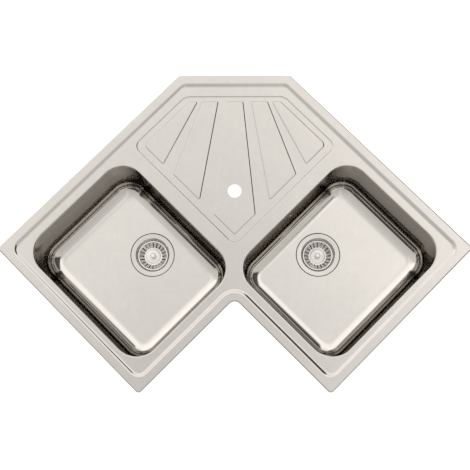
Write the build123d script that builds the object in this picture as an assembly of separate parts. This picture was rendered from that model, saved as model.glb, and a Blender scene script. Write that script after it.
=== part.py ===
from build123d import *

import os
from math import cos, degrees, radians, sin, sqrt, tan

# Corner kitchen sink in pressed stainless steel: a five-sided drainer deck with two deep bowls on the
# two legs of an L, a basket strainer waste in each bowl, an overflow in the right bowl, and the seal
# and clamps that hold the rim down on a worktop. All sizes are in millimetres.
#
# The frame: the origin is the centre of the tap hole on the deck's top face, +X runs to the right,
# +Y towards the corner of the room and +Z up. Places on the deck are given first as distances along
# the two walls from the room's corner, since that is how the sink is laid out.

# --- deck -----------------------------------------------------------------------------------------
sheet = 1.0                  # thickness of the stainless sheet
leg_length = 830.0           # from the room's corner along each wall
leg_depth = 502.0            # from a wall to the front edge of its leg
corner_cut = 200.0           # taken off each wall side where the deck meets the room's corner
corner_to_tap = 441.0        # from the room's corner to the tap hole
tap_hole_radius = 17.5

rim_height = 6.0             # top of the rim band above the worktop
step_drop = 3.5              # from the rim band down to the deck
rim_band = 22.7              # from the edge to the slope, of which the fillet takes 2.7
step_width = 4.6             # width of the slope from the band down to the deck
rim_edge_radius = 2.4
step_fillet = 8.0
tip_radius, end_radius, notch_radius, cut_radius = 2.5, 9.0, 18.0, 5.0
step_tip_radius, step_end_radius, step_cut_radius = 25.3, 25.3, 19.3

rim_top = step_drop
worktop = rim_top - rim_height

# --- drainer --------------------------------------------------------------------------------------
recess_depth = 1.5
recess_slope = 1.8           # width of the recess's sloping border
panel_slope = 2.0            # width of each panel's sloping border
recess_front = 139.0         # the two front borders meet this far in front of the tap hole
recess_back = 372.0          # the two back borders would meet this far behind it
recess_top = 246.0
recess_radii = [24.0, 20.0, 30.0, 30.0, 20.0]
panel_front = 110.0          # the same distances for the panels
panel_back = 348.0
panel_top = 232.0
panel_corner = 3.0
panel_tip = 12.0
middle_top, middle_foot = 21.0, 51.0        # half widths of the middle panel
inner_top = (42.0, 83.0)                    # the panels on each side of it
inner_foot = (87.5, 153.5)
outer_top = 94.5                            # the outermost panels
outer_foot = 179.5

# --- bowls ----------------------------------------------------------------------------------------
bowl_width = 340.0
bowl_length = 400.0
bowl_corner = 60.0
bowl_end_margin = 42.0       # from the end of the leg to the bowl
bowl_depth = 180.0
bowl_draft = 2.0             # degrees
floor_radius = 40.0
mouth_radius = 3.0           # rounding where the deck turns down into a bowl
collar = 6.0                 # the deck's turned-down collar, to which the bowl is welded

# --- wastes ---------------------------------------------------------------------------------------
waste_offset = 57.0          # from the bowl's middle towards the drainer
waste_hole = 45.0
seat_radius = 58.5           # stamped seat in the bowl's floor that takes the flange
seat_depth = 2.2
flange_radius = 57.0
cup_sheet = 1.2
cup_mouth, cup_neck = 43.6, 40.4            # the cup's inner radii at the floor and above its shoulder
cup_shoulder, cup_base = 37.0, 33.5         # and from the shoulder down to its own floor
cup_floor = 36.5             # depths here are below the bowl's floor
drain_outer, drain_web = 19.0, 3.0
hub_radius, hub_hole = 9.0, 4.2
flange_gasket, back_gasket = 1.0, 3.0
moving_gap = 0.3             # between a basket and what it sits on

basket_sheet = 0.8
basket_lip = 12.5
basket_floor = 26.0
basket_rim, basket_mouth, basket_base = 39.6, 36.8, 24.0
basket_slots, basket_slot_width = 20, 2.4
dome_radius, dome_rise = 21.0, 2.0
bell_radius, bell_hollow, bell_roof = 22.5, 9.0, 5.6
knob_radius, knob_depth, knob_stem = 7.0, 8.5, 2.4
peg_radius, peg_top, peg_tip = 3.0, 34.5, 41.5
peg_split = 0.8

waste_bolt_shank, waste_bolt_head, waste_bolt_head_height = 4.0, 7.0, 4.5
waste_bolt_foot = 60.0
waste_bolt_socket, waste_bolt_socket_depth = 3.3, 8.0
body_radius, body_flange, body_bore = 53.0, 4.0, 44.5
body_neck, body_wall = 41.0, 3.0
body_shoulder, body_funnel = 15.0, 42.0     # depths where the body narrows to its neck and outlet
boss_radius, boss_top, boss_foot = 9.0, 40.0, 64.0
insert_radius, insert_top = 6.5, 48.0
web_thickness, web_foot = 2.5, 56.0
outlet_radius = 23.9         # 1 1/2 inch pipe thread, over its crests
outlet_bore = 20.0
outlet_length = 22.0
body_depth = 84.0            # to the end of the outlet
spigot_depth = 50.0          # to the overflow spigot's axis
spigot_reach = 62.0          # from the waste's axis to the spigot's end
fit = 0.05                   # clearance of turned pieces in their holes

# --- overflow -------------------------------------------------------------------------------------
overflow_depth = 38.0        # slots' middle below the deck
slot_offsets = (11.0, 19.5)  # on each side of the screw
slot_width, slot_height = 3.2, 15.0
screw_radius, screw_head, screw_dome, screw_length = 2.5, 3.8, 2.6, 18.0
screw_slot, screw_slot_depth = 1.0, 1.3
elbow_width, elbow_top, elbow_foot = 52.0, -27.0, -50.0
elbow_front, elbow_back, elbow_wall = 173.0, 198.0, 2.0    # from the bowl's middle, towards the drainer
elbow_corner, elbow_post = 6.0, 5.0
elbow_spigot_end = -72.0
window_side, window_end = 5.0, 2.5          # the gasket's width round its window
spigot_radius, spigot_bore = 10.0, 8.0
hose_fit = 0.1
hose_drop_offset = 186.0     # from the bowl's middle to the hose's vertical run
hose_bend = 50.0
hose_crest, hose_valley = 12.8, 11.3
hose_cuff, hose_cuff_length = 12.2, 18.0
hose_top = -54.0
hose_end_reach = 46.0        # from the waste's axis to the hose's end
rib_pitch = 4.0
clip_place = 9.0             # from a hose's end to the middle of its clip
clip_band, clip_width = 1.0, 8.0
clip_housing = (6.0, 10.0, 9.0)             # its height off the hose, its width and its length
clip_screw, clip_screw_length = 3.0, 18.0

# --- damping pads ---------------------------------------------------------------------------------
pad_width, pad_length, pad_corner, pad_thickness = 112.0, 270.0, 8.0, 3.0
pad_offset = 66.0            # from the bowl's middle towards the leg's end

# --- seal and clamps ------------------------------------------------------------------------------
seal_from, seal_to = 3.0, 11.0              # distances from the sink's edge
bolt_radius = 3.0
bolt_inset = 25.0            # from the sink's edge to a clamp bolt
bolt_end = -66.0
bolt_head_flats, bolt_head_height = 10.0, 4.0
bracket_sheet, bracket_width = 1.5, 28.0
bracket_foot = -18.0
bracket_back = 14.0          # these two are measured from the bolt, to the welded flange's inner edge
bracket_front = 7.0          # and to the foot's outer edge
bracket_flange = 7.5
claw_top = -54.0             # top of a claw's plate at its lowest
claw_reach, claw_tail, claw_width = 21.0, 9.0, 16.0
claw_sheet, claw_lip = 2.0, 8.0
tooth_pitch, tooth_size = 4.0, 2.4
nut_top_radius, nut_foot_radius, nut_height = 6.0, 5.0, 7.0
wing_reach, wing_thickness = 15.0, 2.0
nut_turn = 20.0              # degrees round the bolt
clamp_fit = 0.08
# Each clamp of the right leg: a side, and the place along it. The left leg's are their mirror image.
right_clamps = [("wall", 300.0), ("wall", 620.0), ("end", 130.0), ("end", 372.0), ("front", 660.0)]


# --- laying out -----------------------------------------------------------------------------------
def from_walls(right_wall, left_wall):
    """The X and Y of a point given by its distances along the right and the left wall."""
    return ((right_wall - left_wall) / sqrt(2), corner_to_tap - (right_wall + left_wall) / sqrt(2))


def inset_corners(corners, inset):
    """Move every side of a closed outline, given anticlockwise, inwards by the same distance."""
    points = [Vector(*corner) for corner in corners]
    moved = []
    for before, here, after in zip(points[-1:] + points[:-1], points, points[1:] + points[:1]):
        inward = [Vector(-side.Y, side.X) for side in ((here - before).normalized(),
                                                      (after - here).normalized())]
        moved.append(here + (inward[0] + inward[1]) * (inset / (1 + inward[0].dot(inward[1]))))
    return moved


def outline_face(corners, radii, inset, height):
    """A level face inside an outline, inset from it; its radii are those at that inset."""
    points = inset_corners(corners, inset)
    return Pos(0, 0, height) * make_face(FilletPolyline(*points, radius=radii, close=True))


sink_corners = [from_walls(*walls) for walls in (
    (corner_cut, 0), (0, corner_cut), (0, leg_length), (leg_depth, leg_length),
    (leg_depth, leg_depth), (leg_length, leg_depth), (leg_length, 0))]


def sink_face(inset, height):
    """The sink's whole outline, inset by up to the width of the seal, at a height."""
    radii = [cut_radius, cut_radius, tip_radius, end_radius, notch_radius, end_radius, tip_radius]
    shrunk = [max(radius - inset, 0.5) for radius in radii]
    shrunk[4] = notch_radius + inset
    return outline_face(sink_corners, shrunk, inset, height)


def step_face(inset, height):
    """The line of the step at a distance from the sink's edge, with arcs about the same centres."""
    in_from_band = inset - rim_band
    tip, end, cut = (radius - in_from_band for radius in
                     (step_tip_radius, step_end_radius, step_cut_radius))
    notch = notch_radius + inset
    return outline_face(sink_corners, [cut, cut, tip, end, notch, end, tip], inset, height)


def bowl_place(side):
    """The frame of a bowl: X to the leg's end, Y across the leg, Z up, at the bowl's middle."""
    along = leg_length - bowl_end_margin - bowl_width / 2
    across = leg_depth / 2
    x, y = from_walls(along, across)
    return Pos(side * x, y, 0) * Rot(0, 0, -45 if side > 0 else -135)


def waste_place(side):
    """The frame of a waste: Z up its axis from the bowl's floor, X to the leg's end."""
    return bowl_place(side) * Pos(-waste_offset, 0, -bowl_depth)


def turned(points):
    """A solid turned about Z from its outline, given as (radius, height) pairs."""
    return revolve(make_face(Polyline(*[(r, 0, z) for r, z in points], close=True)), Axis.Z)


def ring(outer, inner, low, high):
    """A plain ring or washer about Z."""
    return turned([(inner, low), (outer, low), (outer, high), (inner, high)])


def disc(radius, low, high):
    """A plain cylinder about Z between two heights."""
    return Pos(0, 0, (low + high) / 2) * Cylinder(radius, high - low)


def block(x_range, y_range, z_range):
    """A box between two corners."""
    low, high = zip(x_range, y_range, z_range)
    size = [b - a for a, b in zip(low, high)]
    return Pos(*[(a + b) / 2 for a, b in zip(low, high)]) * Box(*size)


# --- the deck -------------------------------------------------------------------------------------
def drainer_faces(height):
    """The outlines of the recess and of its five panels, as (corners, radii) at the given height."""
    recess = [(0, -recess_front), ((recess_front + recess_back) / 2, (recess_back - recess_front) / 2),
              (recess_back - recess_top, recess_top), (recess_top - recess_back, recess_top),
              (-(recess_front + recess_back) / 2, (recess_back - recess_front) / 2)]
    middle = [(0, -panel_front), (middle_foot, middle_foot - panel_front), (middle_top, panel_top),
              (-middle_top, panel_top), (-middle_foot, middle_foot - panel_front)]
    inner = [(inner_foot[0], inner_foot[0] - panel_front), (inner_foot[1], inner_foot[1] - panel_front),
             (inner_top[1], panel_top), (inner_top[0], panel_top)]
    outer = [(outer_foot, outer_foot - panel_front),
             ((panel_front + panel_back) / 2, (panel_back - panel_front) / 2),
             (panel_back - panel_top, panel_top), (outer_top, panel_top)]
    corner = panel_corner
    panels = [(middle, [corner] * 5), (inner, [corner] * 4), (outer, [corner, panel_tip, corner, corner])]
    for corners, radii in panels[1:3]:
        panels.append(([(-x, y) for x, y in reversed(corners)], radii[::-1]))
    return (recess, recess_radii), panels


def deck_form(skin):
    """All below the deck's top face, or below its lower face when skin is the sheet's thickness."""
    deck_level, band_level = -skin, rim_top - skin
    form = extrude(sink_face(skin, -collar), band_level + collar)
    form = fillet(form.edges().filter_by_position(Axis.Z, band_level - 0.01, band_level + 0.01),
                  rim_edge_radius - skin / 2)
    form -= loft([step_face(rim_band + step_width, deck_level), step_face(rim_band, band_level)],
                 ruled=True)
    for level, radius in ((deck_level, step_fillet + skin), (band_level, step_fillet - skin)):
        face = form.faces().filter_by(Plane.XY).filter_by_position(Axis.Z, level - 0.01, level + 0.01)[0]
        wire = face.outer_wire() if level == deck_level else face.inner_wires()[0]
        form = fillet(wire.edges(), radius)

    opening = RectangleRounded(bowl_width + 2 * skin, bowl_length + 2 * skin, bowl_corner + skin)
    for side in (-1, 1):
        form -= bowl_place(side) * Pos(0, 0, -2 * collar) * extrude(opening, 4 * collar)
    deck_face = form.faces().filter_by(Plane.XY).filter_by_position(
        Axis.Z, deck_level - 0.01, deck_level + 0.01)[0]
    mouths = [edge for wire in deck_face.inner_wires() for edge in wire.edges()]
    form = fillet(mouths, mouth_radius - skin)

    (recess, radii), panels = drainer_faces(deck_level)
    low = deck_level - recess_depth
    form -= loft([outline_face(recess, [r - recess_slope for r in radii], recess_slope, low),
                  outline_face(recess, radii, 0, deck_level)], ruled=True)
    for corners, radii in panels:
        half = panel_slope / 2
        form += loft([outline_face(corners, [r + half for r in radii], -half, low),
                      outline_face(corners, [r - half for r in radii], half, deck_level)], ruled=True)
    return form


def make_deck():
    """The pressed deck: its rim turned down to the worktop, its openings turned down as collars."""
    deck = deck_form(0) - deck_form(sheet)
    below_rim = block((-leg_length, leg_length), (-leg_length, leg_length), (-2 * collar, worktop))
    deck -= below_rim - extrude(sink_face(rim_band / 2, -2 * collar), 2 * collar + worktop)
    return deck - disc(tap_hole_radius, -collar, collar)


# --- the bowls ------------------------------------------------------------------------------------
def bowl_form(skin):
    """The space in a bowl, grown by the sheet's thickness on the walls and floor if asked."""
    opening = RectangleRounded(bowl_width + 2 * skin, bowl_length + 2 * skin, bowl_corner + skin)
    form = extrude(Pos(0, 0, -collar) * opening, collar - bowl_depth - skin, taper=bowl_draft)
    floor = form.faces().sort_by(Axis.Z)[0]
    return fillet(floor.edges(), floor_radius + skin)


def make_bowl(side):
    """One drawn bowl, with a stamped seat and hole for the waste and, on the right, overflow slots."""
    seat = Pos(-waste_offset, 0, -bowl_depth)
    outside = bowl_form(sheet) + seat * disc(seat_radius + sheet, -seat_depth - sheet, 0)
    inside = bowl_form(0) + seat * disc(seat_radius, -seat_depth, floor_radius / 2)
    bowl = outside - inside - seat * disc(waste_hole, -bowl_depth / 2, bowl_depth / 2)
    if side > 0:
        wall = (-bowl_width / 2 - collar, -bowl_width / 2 + collar)
        heights = (-overflow_depth - slot_height / 2, -overflow_depth + slot_height / 2)
        for offset in slot_offsets:
            for middle in (-offset, offset):
                bowl -= block(wall, (middle - slot_width / 2, middle + slot_width / 2), heights)
        bowl -= overflow_place() * disc(screw_radius + 0.5, -collar, collar)
    return bowl_place(side) * bowl


def make_sound_pad(side):
    """The rubber damping pad stuck under a bowl's floor, on the far side of the waste."""
    pad = RectangleRounded(pad_width, pad_length, pad_corner)
    place = Pos(pad_offset, 0, -bowl_depth - sheet - pad_thickness)
    return bowl_place(side) * (place * extrude(pad, pad_thickness))


# --- the wastes: heights are measured from the bowl's floor ---------------------------------------
under_seat = -seat_depth - sheet
gasket_foot = under_seat - back_gasket
outlet_top = outlet_length - body_depth


def make_strainer_cup(side):
    """The flanged steel cup let into the bowl's floor, with a four-armed bridge over its outlet."""
    ledge = -basket_lip - moving_gap
    base = -cup_floor
    inner = [(flange_radius, -0.4), (flange_radius - 1.0, 0), (cup_mouth + 1.4, -0.3), (cup_mouth, -1.6),
             (cup_neck, ledge), (cup_shoulder, ledge - 0.8), (cup_base, base + 1.5),
             (cup_base - 1.5, base), (hub_hole, base)]
    outer = [(hub_hole, base - cup_sheet), (cup_base - 1.0, base - cup_sheet),
             (cup_base + cup_sheet, base + 1.0), (cup_shoulder + cup_sheet, ledge - 2.2),
             (cup_neck + cup_sheet, ledge - 1.0), (cup_mouth + 0.6, -2.8),
             (cup_mouth + 1.6, -cup_sheet), (flange_radius, -cup_sheet)]
    drain = ring(drain_outer, hub_radius, base - 2 * cup_sheet, base + cup_sheet)
    for turn in (0, 90):
        drain -= Rot(0, 0, turn) * block((-2 * drain_outer, 2 * drain_outer), (-drain_web, drain_web),
                                         (base - 3 * cup_sheet, base + 2 * cup_sheet))
    return waste_place(side) * (turned(inner + outer) - drain)


def make_flange_gasket(side):
    """The thin sealing ring between the cup's flange and its seat."""
    return waste_place(side) * ring(seat_radius - 0.3, waste_hole + 1.0,
                                    -seat_depth, -seat_depth + flange_gasket)


def make_back_gasket(side):
    """The thick rubber ring between the bowl's underside and the waste body."""
    return waste_place(side) * ring(body_radius - 0.5, waste_hole - 0.3, gasket_foot, under_seat)


def make_waste_body(side):
    """The moulded funnel drawn up under the bowl, with its threaded outlet and, right, a spigot."""
    bore_outside, neck_outside = body_bore + body_wall, body_neck + body_wall
    under_flange = gasket_foot - body_flange
    outside = [(body_radius, gasket_foot), (body_radius, under_flange), (bore_outside, under_flange),
               (bore_outside, -body_shoulder), (neck_outside, -body_shoulder - body_wall),
               (neck_outside, -body_funnel), (outlet_radius, outlet_top + 2.0),
               (outlet_radius, -body_depth)]
    inside = [(outlet_bore, -body_depth), (outlet_bore, outlet_top), (body_neck, 1.0 - body_funnel),
              (body_neck, -body_shoulder - 1.5), (body_bore, -body_shoulder + 1.2), (body_bore, gasket_foot)]
    body = turned(outside + inside)

    webs = Part()
    for turn in (30, 150, 270):
        webs += Rot(0, 0, turn) * block((boss_radius - 1, body_neck + 1),
                                        (-web_thickness / 2, web_thickness / 2), (-web_foot, -body_funnel))
    webs &= turned([(0, -body_funnel), (body_neck + 1.5, -body_funnel),
                    (outlet_bore + 1.5, outlet_top + 1.0), (0, outlet_top)])
    body += disc(boss_radius, -boss_foot, -boss_top) + webs
    body -= disc(waste_bolt_shank + 0.3, -boss_foot - 1, -boss_top + 1)
    body -= disc(insert_radius + fit, -boss_foot - 1, -insert_top)

    if side > 0:
        spigot = Pos(0, 0, -spigot_depth) * Rot(0, -90, 0)
        body += spigot * ring(spigot_radius, spigot_bore, body_neck - 7.0, spigot_reach)
        body -= spigot * disc(spigot_bore, outlet_radius, spigot_reach + 1)
    return waste_place(side) * body


def make_body_insert(side):
    """The brass nut moulded into the waste body's boss."""
    return waste_place(side) * ring(insert_radius, waste_bolt_shank + fit, -boss_foot, -insert_top)


def make_waste_bolt(side):
    """The bolt that draws cup and body together; its hollow head takes the basket's spring peg."""
    bolt = disc(waste_bolt_shank, -waste_bolt_foot, -cup_floor)
    bolt += disc(waste_bolt_head, -cup_floor, waste_bolt_head_height - cup_floor)
    return waste_place(side) * (bolt - disc(waste_bolt_socket, -cup_floor - waste_bolt_socket_depth, 0))


def make_basket(side):
    """The lift-out strainer basket: a rolled lip, a slotted cone and a slightly domed floor."""
    lip, floor = -basket_lip, -basket_floor
    dome = [(dome_radius, floor), (dome_radius - 4.0, floor + dome_rise * 0.6),
            (dome_radius / 2, floor + dome_rise), (knob_stem + fit, floor + dome_rise)]
    top = [(basket_rim, lip), (basket_rim, lip + basket_sheet), (basket_mouth, lip + basket_sheet),
           (basket_base, floor + 0.4)]
    under = [(radius, height - basket_sheet) for radius, height in reversed(dome)]
    under += [(basket_base + 0.5, floor - basket_sheet), (basket_mouth - 0.4, lip)]
    basket = turned(top + dome + under)
    slot = block((basket_base - 0.6, basket_mouth - 1.6), (-basket_slot_width / 2, basket_slot_width / 2),
                 (floor - 2, lip + 2))
    for number in range(basket_slots):
        basket -= Rot(0, 0, (number + 0.5) * 360 / basket_slots) * slot
    return waste_place(side) * basket


def make_basket_seal(side):
    """The rubber bell under a basket, which stops the outlet when the basket is pushed down."""
    top, foot = -basket_floor - basket_sheet - fit, -cup_floor + moving_gap
    bell = turned([(knob_stem + fit, top + dome_rise), (bell_hollow, top + dome_rise - 0.1),
                   (bell_hollow + 4.0, top - 1.0), (bell_radius, foot + 3.0), (bell_radius, foot),
                   (bell_hollow, foot), (bell_hollow, foot + bell_roof), (knob_stem + fit, foot + bell_roof)])
    return waste_place(side) * bell


def make_basket_knob(side):
    """The turned knob and its stem, riveted through the basket's floor and the rubber bell."""
    foot, top = -basket_floor + dome_rise + fit, -knob_depth
    knob = turned([(0, foot), (0.65 * knob_radius, foot), (0.5 * knob_radius, foot + 2.0),
                   (0.45 * knob_radius, top - 6.5), (0.8 * knob_radius, top - 4.8), (knob_radius, top - 3.0),
                   (knob_radius, top - 1.8), (0.8 * knob_radius, top - 0.4), (0.4 * knob_radius, top),
                   (0, top)])
    return waste_place(side) * (knob + disc(knob_stem, -peg_top, foot + 1))


def make_basket_peg(side):
    """The split spring peg on the stem's end, which clicks into the bolt's hollow head."""
    peg = turned([(0, -peg_tip), (0.6 * peg_radius, -peg_tip), (peg_radius, -peg_tip + 2.0),
                  (peg_radius, -peg_top - 2.0), (0.85 * peg_radius, -peg_top), (0, -peg_top)])
    split = block((-peg_radius - 1, peg_radius + 1), (-peg_split / 2, peg_split / 2),
                  (-peg_tip - 1, -peg_top - 2.0))
    return waste_place(side) * (peg - split)


# --- the overflow, in the right bowl's frame ------------------------------------------------------
def overflow_place():
    """The frame of the overflow's screw: Z out of the drainer-side wall into the bowl."""
    wall = -bowl_width / 2 + (overflow_depth - collar) * tan(radians(bowl_draft))
    return Pos(wall, 0, -overflow_depth) * Rot(0, 90 - bowl_draft, 0)


def make_overflow_gasket():
    """The rubber gasket behind the slots; it takes up the slope of the bowl's wall."""
    half, through = elbow_width / 2, (-elbow_front - 1, 1 - bowl_width / 2)
    gasket = block((-elbow_front, 1 - bowl_width / 2), (-half, half), (elbow_foot, elbow_top))
    window = block(through, (window_side - half, half - window_side),
                   (elbow_foot + window_end, elbow_top - window_end))
    return bowl_place(1) * (gasket - window - bowl_form(sheet))


def make_overflow_elbow():
    """The moulded box behind the gasket that gathers the water and turns it down to the hose."""
    half, wall = elbow_width / 2, elbow_wall
    outside = block((-elbow_back, -elbow_front), (-half, half), (elbow_foot, elbow_top))
    outside = fillet(outside.edges().filter_by(Axis.Z).sort_by(Axis.X)[:2], elbow_corner)
    inside = block((wall - elbow_back, 1 - elbow_front), (2 * wall - half, half - 2 * wall),
                   (elbow_foot + wall, elbow_top - wall))
    post = overflow_place() * disc(elbow_post, elbow_front - elbow_back - wall, 0)
    post &= block((wall - elbow_back - 1, -elbow_front), (-elbow_post, elbow_post), (elbow_foot, elbow_top))
    down = Pos(-hose_drop_offset, 0, 0)
    elbow = outside - inside + post + down * disc(spigot_radius, elbow_spigot_end, elbow_foot + 1)
    elbow -= down * disc(spigot_bore, elbow_spigot_end - 1, elbow_foot + wall + 0.5)
    return bowl_place(1) * (elbow - overflow_place() * disc(screw_radius + fit, -22.0, 5.0))


def make_overflow_screw():
    """The domed screw through the middle of the slots, which pulls the elbow against the wall."""
    screw = turned([(0, 0), (screw_head, 0), (screw_head, 0.8), (0.6 * screw_head, 0.85 * screw_dome),
                    (0, screw_dome)])
    screw += disc(screw_radius, -screw_length, 0.5)
    screw -= block((-screw_head - 1, screw_head + 1), (-screw_slot / 2, screw_slot / 2),
                   (screw_dome - screw_slot_depth, screw_dome + 1))
    return bowl_place(1) * overflow_place() * screw


hose_low = -bowl_depth - spigot_depth
hose_drop = hose_top - hose_low - hose_bend
hose_turn = hose_bend * radians(90)
hose_run = hose_drop_offset - hose_bend - waste_offset - hose_end_reach
hose_length = hose_drop + hose_turn + hose_run


def hose_place(travel):
    """The frame at a distance along the hose, with Z along it and Y square to the hose's plane."""
    if travel <= hose_drop:
        return Pos(-hose_drop_offset, 0, hose_top - travel) * Rot(0, 180, 0)
    if travel <= hose_drop + hose_turn:
        angle = (travel - hose_drop) / hose_bend
        x = -hose_drop_offset + hose_bend * (1 - cos(angle))
        z = hose_low + hose_bend * (1 - sin(angle))
        return Pos(x, 0, z) * Rot(0, 180 - degrees(angle), 0)
    x = -hose_drop_offset + hose_bend + travel - hose_drop - hose_turn
    return Pos(x, 0, hose_low) * Rot(0, 90, 0)


def make_overflow_hose():
    """The ribbed hose from the elbow to the waste body: plain cuffs and rounded-off square ribs."""
    rib_count = int((hose_length - 2 * hose_cuff_length) // rib_pitch)
    pitch = (hose_length - 2 * hose_cuff_length) / rib_count
    rib = ((0.15, hose_valley), (0.35, hose_valley), (0.55, hose_crest), (0.8, hose_crest))
    stations = [(0, hose_cuff), (hose_cuff_length, hose_cuff)]
    for number in range(rib_count):
        stations += [(hose_cuff_length + (number + share) * pitch, radius) for share, radius in rib]
    stations += [(hose_length - hose_cuff_length, hose_cuff), (hose_length, hose_cuff)]
    skin = loft([hose_place(travel) * Circle(radius) for travel, radius in stations], ruled=True)
    route = FilletPolyline((-hose_drop_offset, 0, hose_top + 1), (-hose_drop_offset, 0, hose_low),
                           (1 - waste_offset - hose_end_reach, 0, hose_low), radius=hose_bend)
    bore = sweep(hose_place(-1) * Circle(spigot_radius + hose_fit), path=route)
    print("hose length", round(hose_length, 1), "ribs", rib_count, "bend radius", hose_bend)
    return bowl_place(1) * (skin - bore)


def make_hose_clips():
    """The two worm-drive bands that hold the hose on its spigots, in one node."""
    height, width, length = clip_housing
    clip = ring(hose_cuff + clip_band, hose_cuff, -clip_width / 2, clip_width / 2)
    clip += block((hose_cuff, hose_cuff + height), (-width / 2, width / 2), (-length / 2, length / 2))
    clip += Pos(hose_cuff + height / 2, 0, 0) * Rot(90, 0, 0) * Cylinder(clip_screw, clip_screw_length)
    clip -= disc(hose_cuff, -length, length)
    return Compound(children=[bowl_place(1) * hose_place(travel) * clip
                              for travel in (clip_place, hose_length - clip_place)])


# --- the seal and the clamps ----------------------------------------------------------------------
def make_rim_seal():
    """The foam strip under the rim band."""
    strip = extrude(sink_face(seal_from, worktop), rim_height - sheet)
    return strip - extrude(sink_face(seal_to, worktop - 1), rim_height + 2)


def clamp_places():
    """The frame of every clamp: Z up the bolt, X out towards the sink's edge."""
    places = []
    for side, along in right_clamps:
        walls, facing = {"wall": ((along, bolt_inset), 45),
                         "end": ((leg_length - bolt_inset, along), -45),
                         "front": ((along, leg_depth - bolt_inset), -135)}[side]
        x, y = from_walls(*walls)
        places.append(Pos(x, y, 0) * Rot(0, 0, facing))
        places.append(Pos(-x, y, 0) * Rot(0, 0, 180 - facing))
    return places


def make_clamp_brackets():
    """The folded brackets welded under the deck, one for each clamp, in one node."""
    across = (-bracket_width / 2, bracket_width / 2)
    fold = bracket_flange - bracket_back
    bracket = block((-bracket_back, fold), across, (-sheet - bracket_sheet, -sheet))
    bracket += block((fold - bracket_sheet, fold), across, (bracket_foot, -sheet))
    bracket += block((fold - bracket_sheet, bracket_front), across,
                     (bracket_foot, bracket_foot + bracket_sheet))
    bracket -= disc(bolt_radius + 0.2, bracket_foot - 1, bracket_foot + 3)
    return Compound(children=[place * bracket for place in clamp_places()])


def make_clamp_bolts():
    """The hexagon bolts that hang in the brackets, in one node."""
    seat = bracket_foot + bracket_sheet
    hexagon = RegularPolygon(bolt_head_flats / 2, 6, major_radius=False)
    bolt = Pos(0, 0, seat) * extrude(hexagon, bolt_head_height) + disc(bolt_radius, bolt_end, seat)
    return Compound(children=[place * bolt for place in clamp_places()])


def make_claw(place):
    """A folded claw with a toothed lip, parked along the sink's edge so it passes the cut-out."""
    across, foot = (-claw_width / 2, claw_width / 2), claw_top - claw_sheet
    claw = block((-claw_tail, claw_reach), across, (foot, claw_top))
    claw += block((claw_reach - claw_sheet, claw_reach), across, (foot, claw_top + claw_lip))
    for number in range(int(claw_width / tooth_pitch)):
        middle = (number + 0.5) * tooth_pitch - claw_width / 2
        claw -= Pos(claw_reach, middle, claw_top + claw_lip) * Rot(45, 0, 0) * Box(
            3 * claw_sheet, tooth_size, tooth_size)
    claw -= disc(bolt_radius + clamp_fit, foot - 1, claw_top + 1)
    return place * Rot(0, 0, -90) * claw


def make_wing_nut(place):
    """The wing nut under a claw."""
    top = claw_top - claw_sheet - moving_gap
    foot = top - nut_height
    nut = turned([(0, foot), (nut_foot_radius, foot), (nut_top_radius, top), (0, top)])
    outline = Polyline((4.0, 0, top - 6.5), (wing_reach - 2.0, 0, top - 1.0), (wing_reach, 0, top - 4.0),
                       (wing_reach - 1.5, 0, top - 9.5), (wing_reach - 7.0, 0, top - 9.0), close=True)
    wing = extrude(make_face(outline), wing_thickness / 2, both=True)
    nut += wing + Rot(0, 0, 180) * wing
    return place * Rot(0, 0, nut_turn) * (nut - disc(bolt_radius + clamp_fit, bolt_end, top + 1))


# --- writing --------------------------------------------------------------------------------------
def write(name, part):
    """Write one piece to its own file."""
    os.makedirs("parts", exist_ok=True)
    export_step(part, f"parts/{name}.step")


write("deck", make_deck())
write("rim_seal", make_rim_seal())
for side_name, side in (("left", -1), ("right", 1)):
    for piece, make in (("bowl", make_bowl), ("sound_pad", make_sound_pad),
                        ("strainer_cup", make_strainer_cup), ("flange_gasket", make_flange_gasket),
                        ("back_gasket", make_back_gasket), ("waste_body", make_waste_body),
                        ("body_insert", make_body_insert), ("waste_bolt", make_waste_bolt),
                        ("basket", make_basket), ("basket_seal", make_basket_seal),
                        ("basket_knob", make_basket_knob), ("basket_peg", make_basket_peg)):
        write(f"{side_name}_{piece}", make(side))
write("overflow_gasket", make_overflow_gasket())
write("overflow_elbow", make_overflow_elbow())
write("overflow_screw", make_overflow_screw())
write("overflow_hose", make_overflow_hose())
write("hose_clips", make_hose_clips())
write("clamp_brackets", make_clamp_brackets())
write("clamp_bolts", make_clamp_bolts())
for number, place in enumerate(clamp_places(), start=1):
    write(f"clamp_claw_{number}", make_claw(place))
    write(f"wing_nut_{number}", make_wing_nut(place))
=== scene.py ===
from math import atan2, cos, pi, radians, sin, sqrt, tan

import bmesh
import bpy
from mathutils import Matrix, Vector


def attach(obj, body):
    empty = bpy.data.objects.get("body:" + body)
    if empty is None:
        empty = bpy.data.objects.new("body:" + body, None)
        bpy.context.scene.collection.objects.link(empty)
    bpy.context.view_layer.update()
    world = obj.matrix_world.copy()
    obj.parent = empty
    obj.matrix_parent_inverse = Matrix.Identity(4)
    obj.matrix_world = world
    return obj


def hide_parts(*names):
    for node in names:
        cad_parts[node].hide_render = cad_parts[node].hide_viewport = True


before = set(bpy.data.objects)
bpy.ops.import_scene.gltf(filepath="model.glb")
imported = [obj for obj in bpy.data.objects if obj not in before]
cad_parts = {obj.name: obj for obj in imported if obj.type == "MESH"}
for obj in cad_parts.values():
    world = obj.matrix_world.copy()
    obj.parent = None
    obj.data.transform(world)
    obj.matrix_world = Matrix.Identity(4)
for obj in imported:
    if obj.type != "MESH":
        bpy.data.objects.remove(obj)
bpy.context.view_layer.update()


# -------------------- deck
# The deck is one pressing in 1 mm stainless sheet: a raised rim band turned down to the worktop, a
# slope down to the deck, a drainer recess with five raised panels, a punched tap hole, and two
# openings turned down as collars, to which the bowls are welded.
leg_length, leg_depth = 0.830, 0.502
corner_cut = 0.200
corner_to_tap = 0.441
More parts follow.
